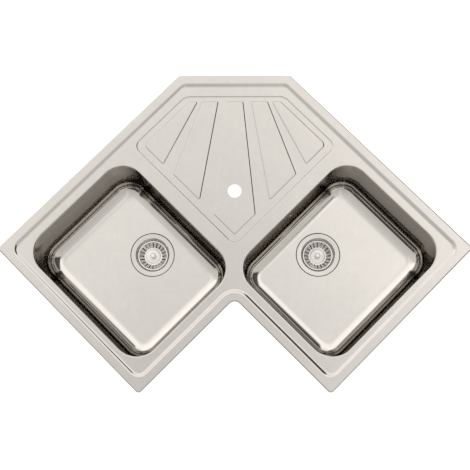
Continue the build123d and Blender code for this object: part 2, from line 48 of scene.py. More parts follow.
sheet = 0.001
rim_top, worktop = 0.0035, -0.0025
rim_band, step_width = 0.0227, 0.0046
rim_radii = (0.005, 0.005, 0.0025, 0.009, 0.018, 0.009, 0.0025)
step_radii = (0.0193, 0.0193, 0.0253, 0.0253, 0.0407, 0.0253, 0.0253)
rim_turns = (1, 1, 1, 1, -1, 1, 1)          # the front notch turns the other way
bowl_width, bowl_length, bowl_corner = 0.340, 0.400, 0.060
bowl_end_margin = 0.042
collar = 0.006
recess_front, recess_back, recess_top = 0.139, 0.372, 0.246
recess_depth, recess_slope = 0.0015, 0.0018
recess_radii = (0.024, 0.020, 0.030, 0.030, 0.020)
panel_front, panel_back, panel_top = 0.110, 0.348, 0.232
panel_slope, panel_corner, panel_tip = 0.002, 0.003, 0.012
middle_top, middle_foot = 0.021, 0.051
inner_top, inner_foot = (0.042, 0.083), (0.0875, 0.1535)
outer_top, outer_foot = 0.0945, 0.1795
tap_hole = 0.0175
margin, rim_border, step_border, panel_border = 0.002, 0.0029, 0.0035, 0.0009    # flat, beside edges
rim_rounding, mouth_rounding = 0.0024, 0.003
step_rounding, recess_rounding, panel_rounding = 0.0027, 0.0006, 0.0006
near = 1e-6                                 # points closer than this are one point


def from_walls(right_wall, left_wall):
    """The X and Y of a point given by its distances along the right and the left wall."""
    return ((right_wall - left_wall) / sqrt(2), corner_to_tap - (right_wall + left_wall) / sqrt(2))


def moved_in(corners, inset):
    """The corners of an outline given anticlockwise, with every side moved inwards."""
    points = [Vector(corner) for corner in corners]
    moved = []
    for before, here, after in zip(points[-1:] + points[:-1], points, points[1:] + points[:1]):
        a, b = (here - before).normalized(), (after - here).normalized()
        a, b = Vector((-a.y, a.x)), Vector((-b.y, b.x))
        moved.append(here + (a + b) * (inset / (1 + a.dot(b))))
    return moved


def begin(name):
    """Starts a new piece and leaves it open for editing, with nothing in it yet."""
    bpy.ops.object.select_all(action="DESELECT")
    bpy.ops.mesh.primitive_plane_add()
    bpy.context.object.name = name
    bpy.ops.object.mode_set(mode="EDIT")
    bpy.ops.mesh.delete(type="VERT")
    bpy.ops.mesh.select_mode(type="VERT")
    bmesh.from_edit_mesh(bpy.context.object.data).verts.layers.int.new("line")
    return bpy.context.object


def in_hand():
    """The mesh of the piece in hand, and the layer that says which line each vertex is on."""
    mesh = bmesh.from_edit_mesh(bpy.context.object.data)
    return mesh, mesh.verts.layers.int["line"]


def pick(kind, test):
    """Selects only those vertices, edges or faces in hand for which the test is true."""
    bpy.ops.mesh.select_mode(type=kind)
    bpy.ops.mesh.select_all(action="DESELECT")
    mesh = bmesh.from_edit_mesh(bpy.context.object.data)
    for part in {"VERT": mesh.verts, "EDGE": mesh.edges, "FACE": mesh.faces}[kind]:
        if test(part):
            part.select_set(True)
    mesh.select_flush_mode()
    bmesh.update_edit_mesh(bpy.context.object.data)


def pick_lines(*lines):
    """Selects whole closed lines by their numbers; a line just drawn has the number 0."""
    layer = in_hand()[1]
    pick("VERT", lambda vertex: vertex[layer] in lines)


def claim():
    """Gives the line just drawn, which is still selected, its number, and returns it."""
    mesh, layer = in_hand()
    number = 1 + max(vertex[layer] for vertex in mesh.verts)
    for vertex in mesh.verts:
        if vertex.select:
            vertex[layer] = number
    bmesh.update_edit_mesh(bpy.context.object.data)
    return number


def circle(corners, radius, place=(0, 0, 0), kind="NGON"):
    """Draws a regular face, or only its edge, beside what the piece already has."""
    bpy.ops.mesh.select_all(action="DESELECT")
    bpy.ops.mesh.primitive_circle_add(vertices=corners, radius=radius, fill_type=kind, location=place)


def outline(corners, radii, height, inset=0.0, steps=8):
    """Draws a face with rounded corners, at an inset from the given corners."""
    places = [Vector((*place, height)) for place in moved_in(corners, inset)]
    circle(len(places), 1.0, (0, 0, height))
    mesh, layer = in_hand()
    drawn = sorted((tuple(vertex.co) for vertex in mesh.verts if vertex[layer] == 0),
                   key=lambda point: atan2(point[1], point[0]))
    for point, place in zip(drawn, places):
        pick("VERT", lambda vertex: (vertex.co - Vector(point)).length < near)
        bpy.ops.transform.translate(value=place - Vector(point))
    for number, (place, radius) in enumerate(zip(places, radii)):
        turn = (place - places[number - 1]).angle(places[(number + 1) % len(places)] - place)
        layer = in_hand()[1]
        pick("VERT", lambda vertex: vertex[layer] == 0 and (vertex.co - place).length < near)
        bpy.ops.mesh.bevel(offset_type="OFFSET", offset=radius * tan(turn / 2), segments=steps,
                           affect="VERTICES", clamp_overlap=False)
    pick_lines(0)
    return claim()


def terrace(line, *shelves):
    """Works inwards from the face on a line, shelf by shelf, each given by its width and its rise."""
    lines = [line]
    for width, rise in shelves:
        bpy.ops.mesh.inset(thickness=width, depth=rise)
        lines.append(claim())
    bpy.ops.mesh.delete(type="ONLY_FACE")
    return lines


def draw_out(*way):
    """Extrudes what is selected by an X, Y and Z."""
    bpy.ops.mesh.extrude_region_move(TRANSFORM_OT_translate={"value": way})


def turn_down(line, drop):
    """Draws a wall down from a line."""
    pick_lines(line)
    draw_out(0, 0, -drop)
    return claim()


def fill_between(*lines):
    """Fills the flat face between closed lines."""
    pick_lines(*lines)
    bpy.ops.mesh.fill(use_beauty=True)


def round_off(line, offset):
    """Marks a closed line to be rounded by the bevel that finishes the piece."""
    mesh, layer = in_hand()
    weights = mesh.edges.layers.float.get("bevel_weight_edge")
    weights = weights or mesh.edges.layers.float.new("bevel_weight_edge")
    for edge in mesh.edges:
        if all(vertex[layer] == line for vertex in edge.verts):
            edge[weights] = offset / mouth_rounding


def open_up():
    """Opens the piece in hand for editing, with all of it selected."""
    bpy.ops.object.mode_set(mode="EDIT")
    bpy.ops.mesh.select_all(action="SELECT")


def close_up(inside=False):
    """Turns every normal outwards, or inwards, and ends the editing of the piece in hand."""
    bpy.ops.mesh.select_all(action="SELECT")
    bpy.ops.mesh.normals_make_consistent(inside=inside)
    bpy.ops.object.mode_set(mode="OBJECT")


def apply(kind, **settings):
    """Adds a modifier to the piece in hand and applies it."""
    bpy.ops.object.modifier_add(type=kind)
    modifier = bpy.context.object.modifiers[-1]
    for key, value in settings.items():
        setattr(modifier, key, value)
    bpy.ops.object.modifier_apply(modifier=modifier.name)


def press(segments):
    """Rounds the marked lines of the piece in hand, and gives it the sheet's thickness."""
    apply("BEVEL", limit_method="WEIGHT", width=mouth_rounding, segments=segments, use_clamp_overlap=False)
    apply("SOLIDIFY", thickness=sheet, offset=-1, use_even_offset=True)


def ease(width, segments=2, degrees=60):
    """Rounds every edge of the piece in hand that is sharper than an angle."""
    apply("BEVEL", limit_method="ANGLE", angle_limit=radians(degrees), width=width, segments=segments)


def finish(piece, body, material, node, degrees=35):
    """Shades the piece in hand smooth up to an angle, gives it its material and body, and hides the CAD node
    that it stands in for.
    """
    bpy.ops.object.shade_smooth_by_angle(angle=radians(degrees))
    apply("WEIGHTED_NORMAL", keep_sharp=True)
    piece.data.materials.clear()
    piece.data.materials.append(material)
    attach(piece, body)
    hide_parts(node)


def new_node(tree, kind, settings=(), **values):
    """Adds a shader node; a value that is a socket is linked, and any other is set."""
    node = tree.nodes.new(kind)
    for key, value in dict(settings).items():
        setattr(node, key, value)
    for key, value in values.items():
        socket = node.inputs[int(key[1:])] if key[1:].isdigit() else node.inputs[key.replace("_", " ")]
        if isinstance(value, bpy.types.NodeSocket):
            tree.links.new(value, socket)
        else:
            socket.default_value = value
    return node


def new_group(name, inputs, outputs):
    """Starts a shader group with named sockets, given as (name, type, value)."""
    group = bpy.data.node_groups.new(name, "ShaderNodeTree")
    for socket_name, kind, value in inputs:
        socket = group.interface.new_socket(socket_name, in_out="INPUT", socket_type=kind)
        socket.default_value = value
    for socket_name, kind in outputs:
        group.interface.new_socket(socket_name, in_out="OUTPUT", socket_type=kind)
    return group, group.nodes.new("NodeGroupInput").outputs, group.nodes.new("NodeGroupOutput").inputs


def maths(tree, operation, first, second, third=0.0):
    """A sum on two or three numbers."""
    node = new_node(tree, "ShaderNodeMath", {"operation": operation}, _0=first, _1=second, _2=third)
    return node.outputs[0]


def noise(tree, place, scale, detail, roughness=0.5):
    """Smooth noise between 0 and 1."""
    return new_node(tree, "ShaderNodeTexNoise", Vector=place, Scale=scale, Detail=detail,
                    Roughness=roughness).outputs["Fac"]


def surface_group(name, *inputs):
    """Starts a group that works out a surface's colour, roughness and height."""
    group, given, out = new_group(name, (
        ("Colour", "NodeSocketColor", (0.8, 0.8, 0.8, 1)), ("Roughness", "NodeSocketFloat", 0.2), *inputs), (
        ("Colour", "NodeSocketColor"), ("Roughness", "NodeSocketFloat"), ("Height", "NodeSocketFloat")))
    return group, given, out, new_node(group, "ShaderNodeTexCoord").outputs["Object"]


def steel_group():
    """Rolled or polished metal: fine grain along one way, cloudy haze, and the sheet's slight waves."""
    group, given, out, place = surface_group(
        "steel_surface", ("Stretch", "NodeSocketVector", (1, 1, 1)), ("Haze", "NodeSocketFloat", 0.03),
        ("Grain", "NodeSocketFloat", 0.5), ("Waves", "NodeSocketFloat", 0.0))
    lines = new_node(group, "ShaderNodeMapping", Vector=place, Scale=given["Stretch"]).outputs[0]
    fine = noise(group, lines, 1.0, 4.0, 0.6)
    haze = maths(group, "ADD", noise(group, place, 9.0, 3.0, 0.55), noise(group, place, 55.0, 5.0, 0.62))
    haze = maths(group, "SUBTRACT", haze, 1.0)
    uneven = maths(group, "ADD", haze, maths(group, "SUBTRACT", fine, 0.5))
    rough = maths(group, "MULTIPLY_ADD", uneven, given["Haze"], given["Roughness"])
    shade = maths(group, "MULTIPLY_ADD", uneven, 0.10, 1.0)
    tint = new_node(group, "ShaderNodeVectorMath", {"operation": "SCALE"}, _0=given["Colour"], Scale=shade)
    ripple = maths(group, "MULTIPLY", noise(group, place, 13.0, 0.0), given["Waves"])
    group.links.new(rough, out["Roughness"])
    group.links.new(tint.outputs[0], out["Colour"])
    group.links.new(maths(group, "MULTIPLY_ADD", fine, given["Grain"], ripple), out["Height"])
    return group


steel_surface = steel_group()


def finished(name, group, metallic, **values):
    """A material whose colour, roughness and bumps come from a group; heights are in hundredths of a mm."""
    material = bpy.data.materials.new(name)
    material.use_nodes = True
    tree = material.node_tree
    shader = tree.nodes["Principled BSDF"]
    shader.inputs["Metallic"].default_value = metallic
    surface = new_node(tree, "ShaderNodeGroup", {"node_tree": group}, **values)
    bump = new_node(tree, "ShaderNodeBump", Strength=1.0, Distance=0.00001, Height=surface.outputs["Height"])
    tree.links.new(surface.outputs["Colour"], shader.inputs["Base Color"])
    tree.links.new(surface.outputs["Roughness"], shader.inputs["Roughness"])
    tree.links.new(bump.outputs[0], shader.inputs["Normal"])
    return material


def metal(name, colour, roughness, stretch, grain=0.02, haze=0.06, waves=0.0, glancing=0.7):
    """A metal finish; glancing is how much it reflects at a low angle."""
    material = finished(name, steel_surface, 1.0, Colour=(*colour, 1), Roughness=roughness, Stretch=stretch,
                        Haze=haze, Grain=grain, Waves=waves)
    edge = (glancing, 0.93 * glancing, 0.86 * glancing, 1)      # a little warmer at a low angle
    material.node_tree.nodes["Principled BSDF"].inputs["Specular Tint"].default_value = edge
    return material


steel_sheet = metal("satin_steel_sheet", (0.645, 0.622, 0.595), 0.11, (60, 1800, 1800), grain=0.05, waves=3.0)


def bowl_corners(side):
    """The corners of a bowl's opening, anticlockwise."""
    end, across = leg_length - bowl_end_margin, (leg_depth - bowl_length) / 2
    walls = [(end - bowl_width, across), (end - bowl_width, across + bowl_length),
             (end, across + bowl_length), (end, across)]
    if side > 0:
        return [from_walls(*place) for place in walls]
    return [from_walls(*reversed(place)) for place in reversed(walls)]


sink_corners = [from_walls(*walls) for walls in (
    (corner_cut, 0), (0, corner_cut), (0, leg_length), (leg_depth, leg_length),
    (leg_depth, leg_depth), (leg_length, leg_depth), (leg_length, 0))]
recess_corners = [(0, -recess_front),
                  ((recess_front + recess_back) / 2, (recess_back - recess_front) / 2),
                  (recess_back - recess_top, recess_top), (recess_top - recess_back, recess_top),
                  (-(recess_front + recess_back) / 2, (recess_back - recess_front) / 2)]
middle_panel = [(0, -panel_front), (middle_foot, middle_foot - panel_front), (middle_top, panel_top),
                (-middle_top, panel_top), (-middle_foot, middle_foot - panel_front)]
inner_panel = [(inner_foot[0], inner_foot[0] - panel_front), (inner_foot[1], inner_foot[1] - panel_front),
               (inner_top[1], panel_top), (inner_top[0], panel_top)]
outer_panel = [(outer_foot, outer_foot - panel_front),
               ((panel_front + panel_back) / 2, (panel_back - panel_front) / 2),
               (panel_back - panel_top, panel_top), (outer_top, panel_top)]

deck = begin("pressed_deck")
rim_edge, band_outside = terrace(outline(sink_corners, rim_radii, rim_top), (rim_border, 0))
turn_down(rim_edge, rim_top - worktop)
round_off(rim_edge, rim_rounding)
step_radii = [radius + turn * step_border for radius, turn in zip(step_radii, rim_turns)]
band_inside, step_top, step_foot, flat_outside = terrace(
    outline(sink_corners, step_radii, rim_top, inset=rim_band - step_border),
    (step_border, 0), (step_width, -rim_top), (step_border, 0))
round_off(step_top, step_rounding)
round_off(step_foot, step_rounding)
flat_edges = [flat_outside]

for side in (-1, 1):
    border = mouth_rounding + margin
    edge = outline(bowl_corners(side), [bowl_corner + border] * 4, 0, inset=-border, steps=14)
    around, mouth = terrace(edge, (border, 0))
    turn_down(mouth, collar)
    round_off(mouth, mouth_rounding)
    flat_edges.append(around)

around, recess_edge, recess_foot, floor_outside = terrace(
    outline(recess_corners, [radius + margin for radius in recess_radii], 0, inset=-margin),
    (margin, 0), (recess_slope, -recess_depth), (margin, 0))
round_off(recess_edge, recess_rounding)
round_off(recess_foot, recess_rounding)
flat_edges.append(around)
floor_edges = [floor_outside]

sharp_corners = [panel_corner] * 5
panels = [(middle_panel, sharp_corners)]
for corners, radii in ((inner_panel, sharp_corners[:4]),
                       (outer_panel, [panel_corner, panel_tip, panel_corner, panel_corner])):
    panels += [(corners, radii), ([(-x, y) for x, y in reversed(corners)], radii[::-1])]
for corners, radii in panels:
    border = panel_slope / 2 + panel_border
    around, foot, edge, *top = terrace(
        outline(corners, [radius + border for radius in radii], -recess_depth, inset=-border, steps=6),
        (panel_border, 0), (panel_slope, recess_depth), (panel_border, 0))
    round_off(foot, panel_rounding)
    round_off(edge, panel_rounding)
    floor_edges.append(around)
    if corners is middle_panel:
        circle(48, tap_hole, kind="NOTHING")
        top.append(claim())
    fill_between(*top)

for edges in ((band_outside, band_inside), flat_edges, floor_edges):
    fill_between(*edges)
close_up()
press(segments=4)
# At the rim's two sharpest corners the underside comes out above the sheet, so it is put back below.
bpy.ops.object.mode_set(mode="EDIT")
pick("VERT", lambda corner: corner.co.z > rim_top + sheet / 2)
bpy.ops.transform.translate(value=(0, 0, -2 * sheet))
bpy.ops.object.mode_set(mode="OBJECT")
finish(deck, "sink", steel_sheet, "deck")


# -------------------- bowls
# Each bowl is deep-drawn in the same sheet with a slight draft and wide floor fillets, and welded up
# to the deck's collar; a seat for the waste's flange is stamped round the hole in its floor. The
# right one has four overflow slots and a screw hole in its drainer side.
bowl_depth, bowl_draft, floor_rounding = 0.180, radians(2), 0.040
waste_offset, waste_hole = 0.057, 0.045
seat_radius, seat_depth, seat_slope = 0.0585, 0.0022, 0.0004
seat_border, seat_rounding = 0.0009, 0.0004
overflow_depth, slot_offsets = 0.038, (0.011, 0.0195)
slot_width, slot_height = 0.0032, 0.015
screw_radius = 0.0025


def frame_at(x, y, z, turn=0.0, axis="Z"):
    """A frame at a place, turned about one of its axes."""
    return Matrix.Translation((x, y, z)) @ Matrix.Rotation(turn, 4, axis)


def bowl_frame(side):
    """Turns a bowl's own frame, X to the leg's end, into the sink's."""
    x, y = from_walls(leg_length - bowl_end_margin - bowl_width / 2, leg_depth / 2)
    return frame_at(side * x, y, 0, radians(-45 if side > 0 else -135))


def waste_frame(side):
    """Turns a waste's own frame, Z up its axis from the bowl's floor, into the sink's."""
    return bowl_frame(side) @ frame_at(-waste_offset, 0, -bowl_depth)


def take(piece, *others):
    """Takes a piece in hand, with others selected beside it."""
    bpy.ops.object.select_all(action="DESELECT")
    for selected in (piece, *others):
        selected.select_set(True)
    bpy.context.view_layer.objects.active = piece


def put(piece, place):
    """Moves a piece, with its place in its mesh, and takes it in hand."""
    piece.matrix_world = place
    take(piece)
    bpy.ops.object.transform_apply()
    return piece


def copy_to(piece, name, place=Matrix()):
    """Copies a piece, with its own mesh, and moves the copy."""
    copied = piece.copy()
    copied.data = piece.data.copy()
    copied.name = copied.data.name = name
    bpy.context.collection.objects.link(copied)
    return put(copied, place)


def cut(piece, *tools, operation="DIFFERENCE"):
    """Cuts a piece with others, or joins them to it, and takes the tools away."""
    for tool in tools:
        take(piece)
        apply("BOOLEAN", object=tool, operation=operation, solver="EXACT")
        bpy.data.objects.remove(tool)


def bar(size, place, rounding=0.0001, segments=4, along=None):
    """A bar with its edges rounded along one way, which is its longest unless another is given."""
    bpy.ops.object.select_all(action="DESELECT")
    bpy.ops.mesh.primitive_cube_add(size=1.0, location=place)
    bpy.ops.object.mode_set(mode="EDIT")
    bpy.ops.transform.resize(value=size)
    along = max(range(3), key=lambda axis: size[axis]) if along is None else along
    pick("EDGE", lambda edge: abs((edge.verts[1].co - edge.verts[0].co)[along]) > size[along] / 2)
    bpy.ops.mesh.bevel(offset=rounding, segments=segments)
    bpy.ops.object.mode_set(mode="OBJECT")
    bpy.ops.object.transform_apply()
    return bpy.context.object


def rod(radius, low, high, sides=32):
    """A plain rod about Z between two heights, for cutting a hole."""
    bpy.ops.object.select_all(action="DESELECT")
    bpy.ops.mesh.primitive_cylinder_add(vertices=sides, radius=radius, depth=high - low,
                                        location=(0, 0, (low + high) / 2))
    bpy.ops.object.transform_apply()
    return bpy.context.object


bowl = begin("drawn_bowl")
half_width, half_length = bowl_width / 2, bowl_length / 2
rectangle = [(x * half_width, y * half_length) for x, y in ((1, -1), (1, 1), (-1, 1), (-1, -1))]
wall_height = bowl_depth - collar
floor_edge = terrace(outline(rectangle, [bowl_corner] * 4, -collar, steps=14),
                     (wall_height * tan(bowl_draft), -wall_height))[1]
pick_lines(floor_edge)
bpy.ops.mesh.edge_face_add()
pick_lines(floor_edge)
bpy.ops.mesh.bevel(offset=floor_rounding * tan((pi / 2 - bowl_draft) / 2), segments=14, affect="EDGES",
                   clamp_overlap=False)
pick("FACE", lambda face: len(face.verts) > 4)
floor_edge = terrace(claim(), (margin, 0))[1]
circle(96, seat_radius + seat_border, (-waste_offset, 0, -bowl_depth))
around, seat_top, *_ = terrace(
    claim(), (seat_border, 0), (seat_slope, -seat_depth), (seat_radius - seat_slope - waste_hole, 0))
round_off(seat_top, seat_rounding)
fill_between(floor_edge, around)
close_up(inside=True)
press(segments=3)
# The bowls' steel reflects only 0.25 at a low angle, against 0.7 on the deck's sheet: painted shade that
# darkens the walls, which are seen at a low angle.
bowl_steel_with_painted_shade = metal("satin_steel_drawn_painted_shade", (0.72, 0.695, 0.665), 0.09, (1500, 1500, 120), grain=0.0, haze=0.0,
                   glancing=0.25)
for side, name in ((-1, "left_bowl"), (1, "right_bowl")):
    piece = copy_to(bowl, "drawn_" + name)
    if side > 0:
        wall = -half_width + (overflow_depth - collar) * tan(bowl_draft)
        overflow_frame = frame_at(wall, 0, -overflow_depth, pi / 2 - bowl_draft, "Y")
        cut(piece, put(rod(screw_radius + 0.0005, -0.01, 0.01), overflow_frame),
            *[bar((0.02, slot_width, slot_height), (wall, way * offset, -overflow_depth), slot_width / 2.1)
              for offset in slot_offsets for way in (-1, 1)])
    put(piece, bowl_frame(side))
    finish(piece, "sink", bowl_steel_with_painted_shade, name)
bpy.data.objects.remove(bowl)


# -------------------- strainer cups
# The cup of each waste is pressed in thinner polished steel: a flange that lies in the bowl's seat,
# a shoulder that the basket's lip rests on, and a floor with a four-armed bridge over the outlet.
flange_radius, cup_sheet = 0.057, 0.0012
cup_mouth, cup_neck, cup_shoulder, cup_base = 0.0436, 0.0404, 0.037, 0.0335
cup_floor, cup_ledge = -0.0365, -0.0128
drain_outer, drain_web, hub_radius, hub_hole = 0.019, 0.003, 0.009, 0.0042
drain_half, arm_length, arm_height = 0.003, 0.05, 0.02     # the tools that cut the drain
axis_width = 0.00001                        # a point of an outline nearer its axis than this is on it


def draw(points):
    """Draws an open line through (x, z) points."""
    (x, z), *others = points
    bpy.ops.mesh.primitive_circle_add(vertices=3, radius=0.001, location=(x, 0, z))
    bpy.ops.mesh.merge(type="CENTER")
    bpy.ops.mesh.select_all(action="SELECT")
    for following_x, following_z in others:
        draw_out(following_x - x, 0, following_z - z)
        x, z = following_x, following_z
    bpy.ops.mesh.select_all(action="SELECT")


def turned(name, profile, rounding=0.0003, segments=2, steps=64):
    """Turns a solid piece about Z from its closed outline, given as (radius, height) pairs."""
    piece = begin(name)
    draw(profile)
    bpy.ops.mesh.edge_face_add()
    if rounding:
        pick("VERT", lambda vertex: vertex.co.x > axis_width)
        bpy.ops.mesh.bevel(offset=rounding, segments=segments, affect="VERTICES")
    bpy.ops.mesh.select_all(action="SELECT")
    bpy.ops.mesh.delete(type="ONLY_FACE")
    pick("EDGE", lambda edge: all(vertex.co.x < axis_width for vertex in edge.verts))
    bpy.ops.mesh.delete(type="EDGE")
    bpy.ops.mesh.select_all(action="SELECT")
    bpy.ops.mesh.spin(steps=steps, angle=2 * pi, axis=(0, 0, 1), center=(0, 0, 0), use_auto_merge=True)
    bpy.ops.mesh.select_all(action="SELECT")
    bpy.ops.mesh.remove_doubles(threshold=axis_width)
    close_up()
    return piece


def ring_outline(outer, inner, low, high):
    """The outline of a plain ring about Z."""
    return [(inner, low), (outer, low), (outer, high), (inner, high)]


def both(piece, name, material, body="sink", place=waste_frame, degrees=35):
    """Puts one copy of a piece under each bowl, and takes the pattern away."""
    for side, side_name in ((-1, "left"), (1, "right")):
        copied = copy_to(piece, f"{side_name}_{piece.name}", place(side))
        finish(copied, body if body == "sink" else f"{side_name}_{body}", material,
               f"{side_name}_{name}", degrees)
    bpy.data.objects.remove(piece)


polished_steel = metal("polished_steel", (0.70, 0.68, 0.66), 0.07, (900, 900, 900), grain=0.01, haze=0.03,
                       glancing=0.5)
cup_inside = [(flange_radius, -0.0004), (flange_radius - 0.001, 0), (cup_mouth + 0.0014, -0.0003),
              (cup_mouth, -0.0016), (cup_neck, cup_ledge), (cup_shoulder, cup_ledge - 0.0008),
              (cup_base, cup_floor + 0.0015), (cup_base - 0.0015, cup_floor), (hub_hole, cup_floor)]
cup_outside = [(hub_hole, cup_floor - cup_sheet), (cup_base - 0.001, cup_floor - cup_sheet),
               (cup_base + cup_sheet, cup_floor + 0.001), (cup_shoulder + cup_sheet, cup_ledge - 0.0022),
               (cup_neck + cup_sheet, cup_ledge - 0.001), (cup_mouth + 0.0006, -0.0028),
               (cup_mouth + 0.0016, -cup_sheet), (flange_radius, -cup_sheet)]
cup = turned("pressed_cup", cup_inside + cup_outside, rounding=0.0004, steps=96)
drain = turned("drain_ring", ring_outline(drain_outer, hub_radius, cup_floor - drain_half,
                                          cup_floor + drain_half), rounding=0)
cut(drain, *[bar((size_x, size_y, arm_height), (0, 0, cup_floor), segments=1)
             for size_x, size_y in ((arm_length, 2 * drain_web), (2 * drain_web, arm_length))])
cut(cup, drain)
both(cup, "strainer_cup", polished_steel)


# -------------------- strainer baskets
# Each basket lifts out by its knob. It is pressed steel, a lip and a slotted cone round a domed
# floor; the knob's stem is riveted through the floor and through the rubber bell that stops the
# outlet, and ends in a split spring peg.
basket_sheet, basket_lip, basket_floor = 0.0008, -0.0125, -0.026
basket_rim, basket_mouth, basket_base = 0.0396, 0.0368, 0.024
basket_slots, basket_slot_width, slot_cut_height, slot_cut_middle = 20, 0.0024, 0.03, -0.019
dome_radius, dome_rise = 0.021, 0.002
bell_radius, bell_hollow, bell_roof = 0.0225, 0.009, 0.0056
knob_radius, knob_top, knob_stem = 0.007, -0.0085, 0.0024
peg_radius, peg_top, peg_tip, peg_split = 0.003, -0.0345, -0.0415, 0.0008
fit = 0.00005


def repeat(count, turn=0.0, pitch=None):
    """Repeats the mesh of the piece in hand round Z by a pitch, starting from an angle."""
    open_up()
    bpy.ops.transform.rotate(value=-turn, orient_axis="Z", center_override=(0, 0, 0))
    for _ in range(count - 1):
        bpy.ops.mesh.duplicate()
        bpy.ops.transform.rotate(value=-(pitch or 2 * pi / count), orient_axis="Z", center_override=(0, 0, 0))
    bpy.ops.object.mode_set(mode="OBJECT")
    return bpy.context.object


dome = [(dome_radius, basket_floor), (dome_radius - 0.004, basket_floor + dome_rise * 0.6),
        (dome_radius / 2, basket_floor + dome_rise), (knob_stem + fit, basket_floor + dome_rise)]
basket_steel = metal("brushed_basket_steel", (0.93, 0.915, 0.90), 0.40, (900, 900, 900), grain=0.01,
                     haze=0.05)
basket_top = [(basket_rim, basket_lip), (basket_rim, basket_lip + basket_sheet),
              (basket_mouth, basket_lip + basket_sheet), (basket_base, basket_floor + 0.0004)]
basket_under = [(radius, height - basket_sheet) for radius, height in reversed(dome)]
basket_under += [(basket_base + 0.0005, basket_floor - basket_sheet), (basket_mouth - 0.0004, basket_lip)]
basket = turned("pressed_basket", basket_top + dome + basket_under, rounding=0.0003, steps=120)
slot_from, slot_to = basket_base - 0.0006, basket_mouth - 0.0016
bar((slot_to - slot_from, basket_slot_width, slot_cut_height),
    ((slot_from + slot_to) / 2, 0, slot_cut_middle), 0.0008)
cut(basket, repeat(basket_slots, pi / basket_slots))
both(basket, "basket", basket_steel, body="basket_set")

knob_foot = basket_floor + dome_rise + fit
knob = turned("turned_knob", [
    (0, knob_foot), (0.65 * knob_radius, knob_foot), (0.5 * knob_radius, knob_foot + 0.002),
    (0.45 * knob_radius, knob_top - 0.0065), (0.8 * knob_radius, knob_top - 0.0048),
    (knob_radius, knob_top - 0.003), (knob_radius, knob_top - 0.0018), (0.8 * knob_radius, knob_top - 0.0004),
    (0.4 * knob_radius, knob_top), (0, knob_top)], rounding=0.0006, segments=3, steps=48)
stem = turned("knob_stem", ring_outline(knob_stem, 0, peg_top, knob_foot + 0.001), rounding=0.0002, steps=48)
cut(knob, stem, operation="UNION")
both(knob, "basket_knob", basket_steel, body="basket_set")


def moulded_group():
    """Moulded plastic or rubber: soft mottling, a fine matt grain and, in foam, open cells whose pits are
    sunk and darkened with painted shade.
    """
    group, given, out, place = surface_group(
        "moulded_surface", ("Mottle", "NodeSocketFloat", 0.1), ("Grain", "NodeSocketFloat", 1.0),
        ("Cells", "NodeSocketFloat", 0.0))
    mottle = maths(group, "SUBTRACT", noise(group, place, 45.0, 4.0, 0.6), 0.5)
    grain = noise(group, place, 1800.0, 2.0)
    cell = new_node(group, "ShaderNodeTexVoronoi", Vector=place, Scale=750.0).outputs["Distance"]
    # The pits are sunk by the height and also darkened in colour: painted shade in the foam's cells.
    pit_depth_and_shade = maths(group, "MULTIPLY", maths(group, "SUBTRACT", 0.6, cell), given["Cells"])
    shade = maths(group, "SUBTRACT", maths(group, "MULTIPLY_ADD", mottle, given["Mottle"], 1.0), pit_depth_and_shade)
    tint = new_node(group, "ShaderNodeVectorMath", {"operation": "SCALE"}, _0=given["Colour"], Scale=shade)
    group.links.new(tint.outputs[0], out["Colour"])
    group.links.new(maths(group, "MULTIPLY_ADD", mottle, 0.25, given["Roughness"]), out["Roughness"])
    rise = maths(group, "MULTIPLY", grain, given["Grain"])
    group.links.new(maths(group, "MULTIPLY_ADD", pit_depth_and_shade, -25.0, rise), out["Height"])
    return group


moulded_surface = moulded_group()


def moulded(name, colour, roughness, mottle=0.15, grain=1.0, cells=0.0):
    """A plastic or rubber finish."""
    return finished(name, moulded_surface, 0.0, Colour=(*colour, 1), Roughness=roughness, Mottle=mottle,
                    Grain=grain, Cells=cells)


black_rubber = moulded("black_rubber", (0.022, 0.022, 0.023), 0.58, mottle=0.5, grain=1.5)
bell_top, bell_foot = basket_floor - basket_sheet - fit, cup_floor + 0.0003
both(turned("stopper_bell", [
    (knob_stem + fit, bell_top + dome_rise), (bell_hollow, bell_top + dome_rise - 0.0001),
    (bell_hollow + 0.004, bell_top - 0.001), (bell_radius, bell_foot + 0.003), (bell_radius, bell_foot),
    (bell_hollow, bell_foot), (bell_hollow, bell_foot + bell_roof), (knob_stem + fit, bell_foot + bell_roof)],
    rounding=0.0005, segments=3), "basket_seal", black_rubber, body="basket_set")
peg = turned("spring_peg", [
    (0, peg_tip), (0.6 * peg_radius, peg_tip), (peg_radius, peg_tip + 0.002),
    (peg_radius, peg_top - 0.002), (0.85 * peg_radius, peg_top), (0, peg_top)], steps=40)
split_height = peg_top - 0.002 - peg_tip + 0.001
cut(peg, bar((4 * peg_radius, peg_split, split_height), (0, 0, peg_tip - 0.001 + split_height / 2)))
both(peg, "basket_peg", polished_steel, body="basket_set")


# -------------------- waste seals
# Two rubber rings seal each waste: a thin one under the cup's flange, and a thick grooved one that
# the waste body presses against the bowl's underside.
gasket_top = -seat_depth - sheet
gasket_foot = gasket_top - 0.003
gasket_outer, gasket_inner, gasket_groove = 0.0525, 0.0447, 0.0006
groove_radii, groove_half = (0.0505, 0.0475), 0.0008

both(turned("flange_ring", ring_outline(seat_radius - 0.0003, waste_hole + 0.001, -seat_depth,
                                        0.001 - seat_depth)), "flange_gasket", black_rubber)
back_ring = ring_outline(gasket_outer, gasket_inner, gasket_foot, gasket_top)
for radius in groove_radii:
    back_ring[1:1] = [(radius - groove_half, gasket_foot), (radius, gasket_foot + gasket_groove),
                      (radius + groove_half, gasket_foot)]
back_ring = [back_ring[0]] + sorted(back_ring[1:-2]) + back_ring[-2:]
both(turned("back_ring", back_ring, rounding=0.0002), "back_gasket", black_rubber)


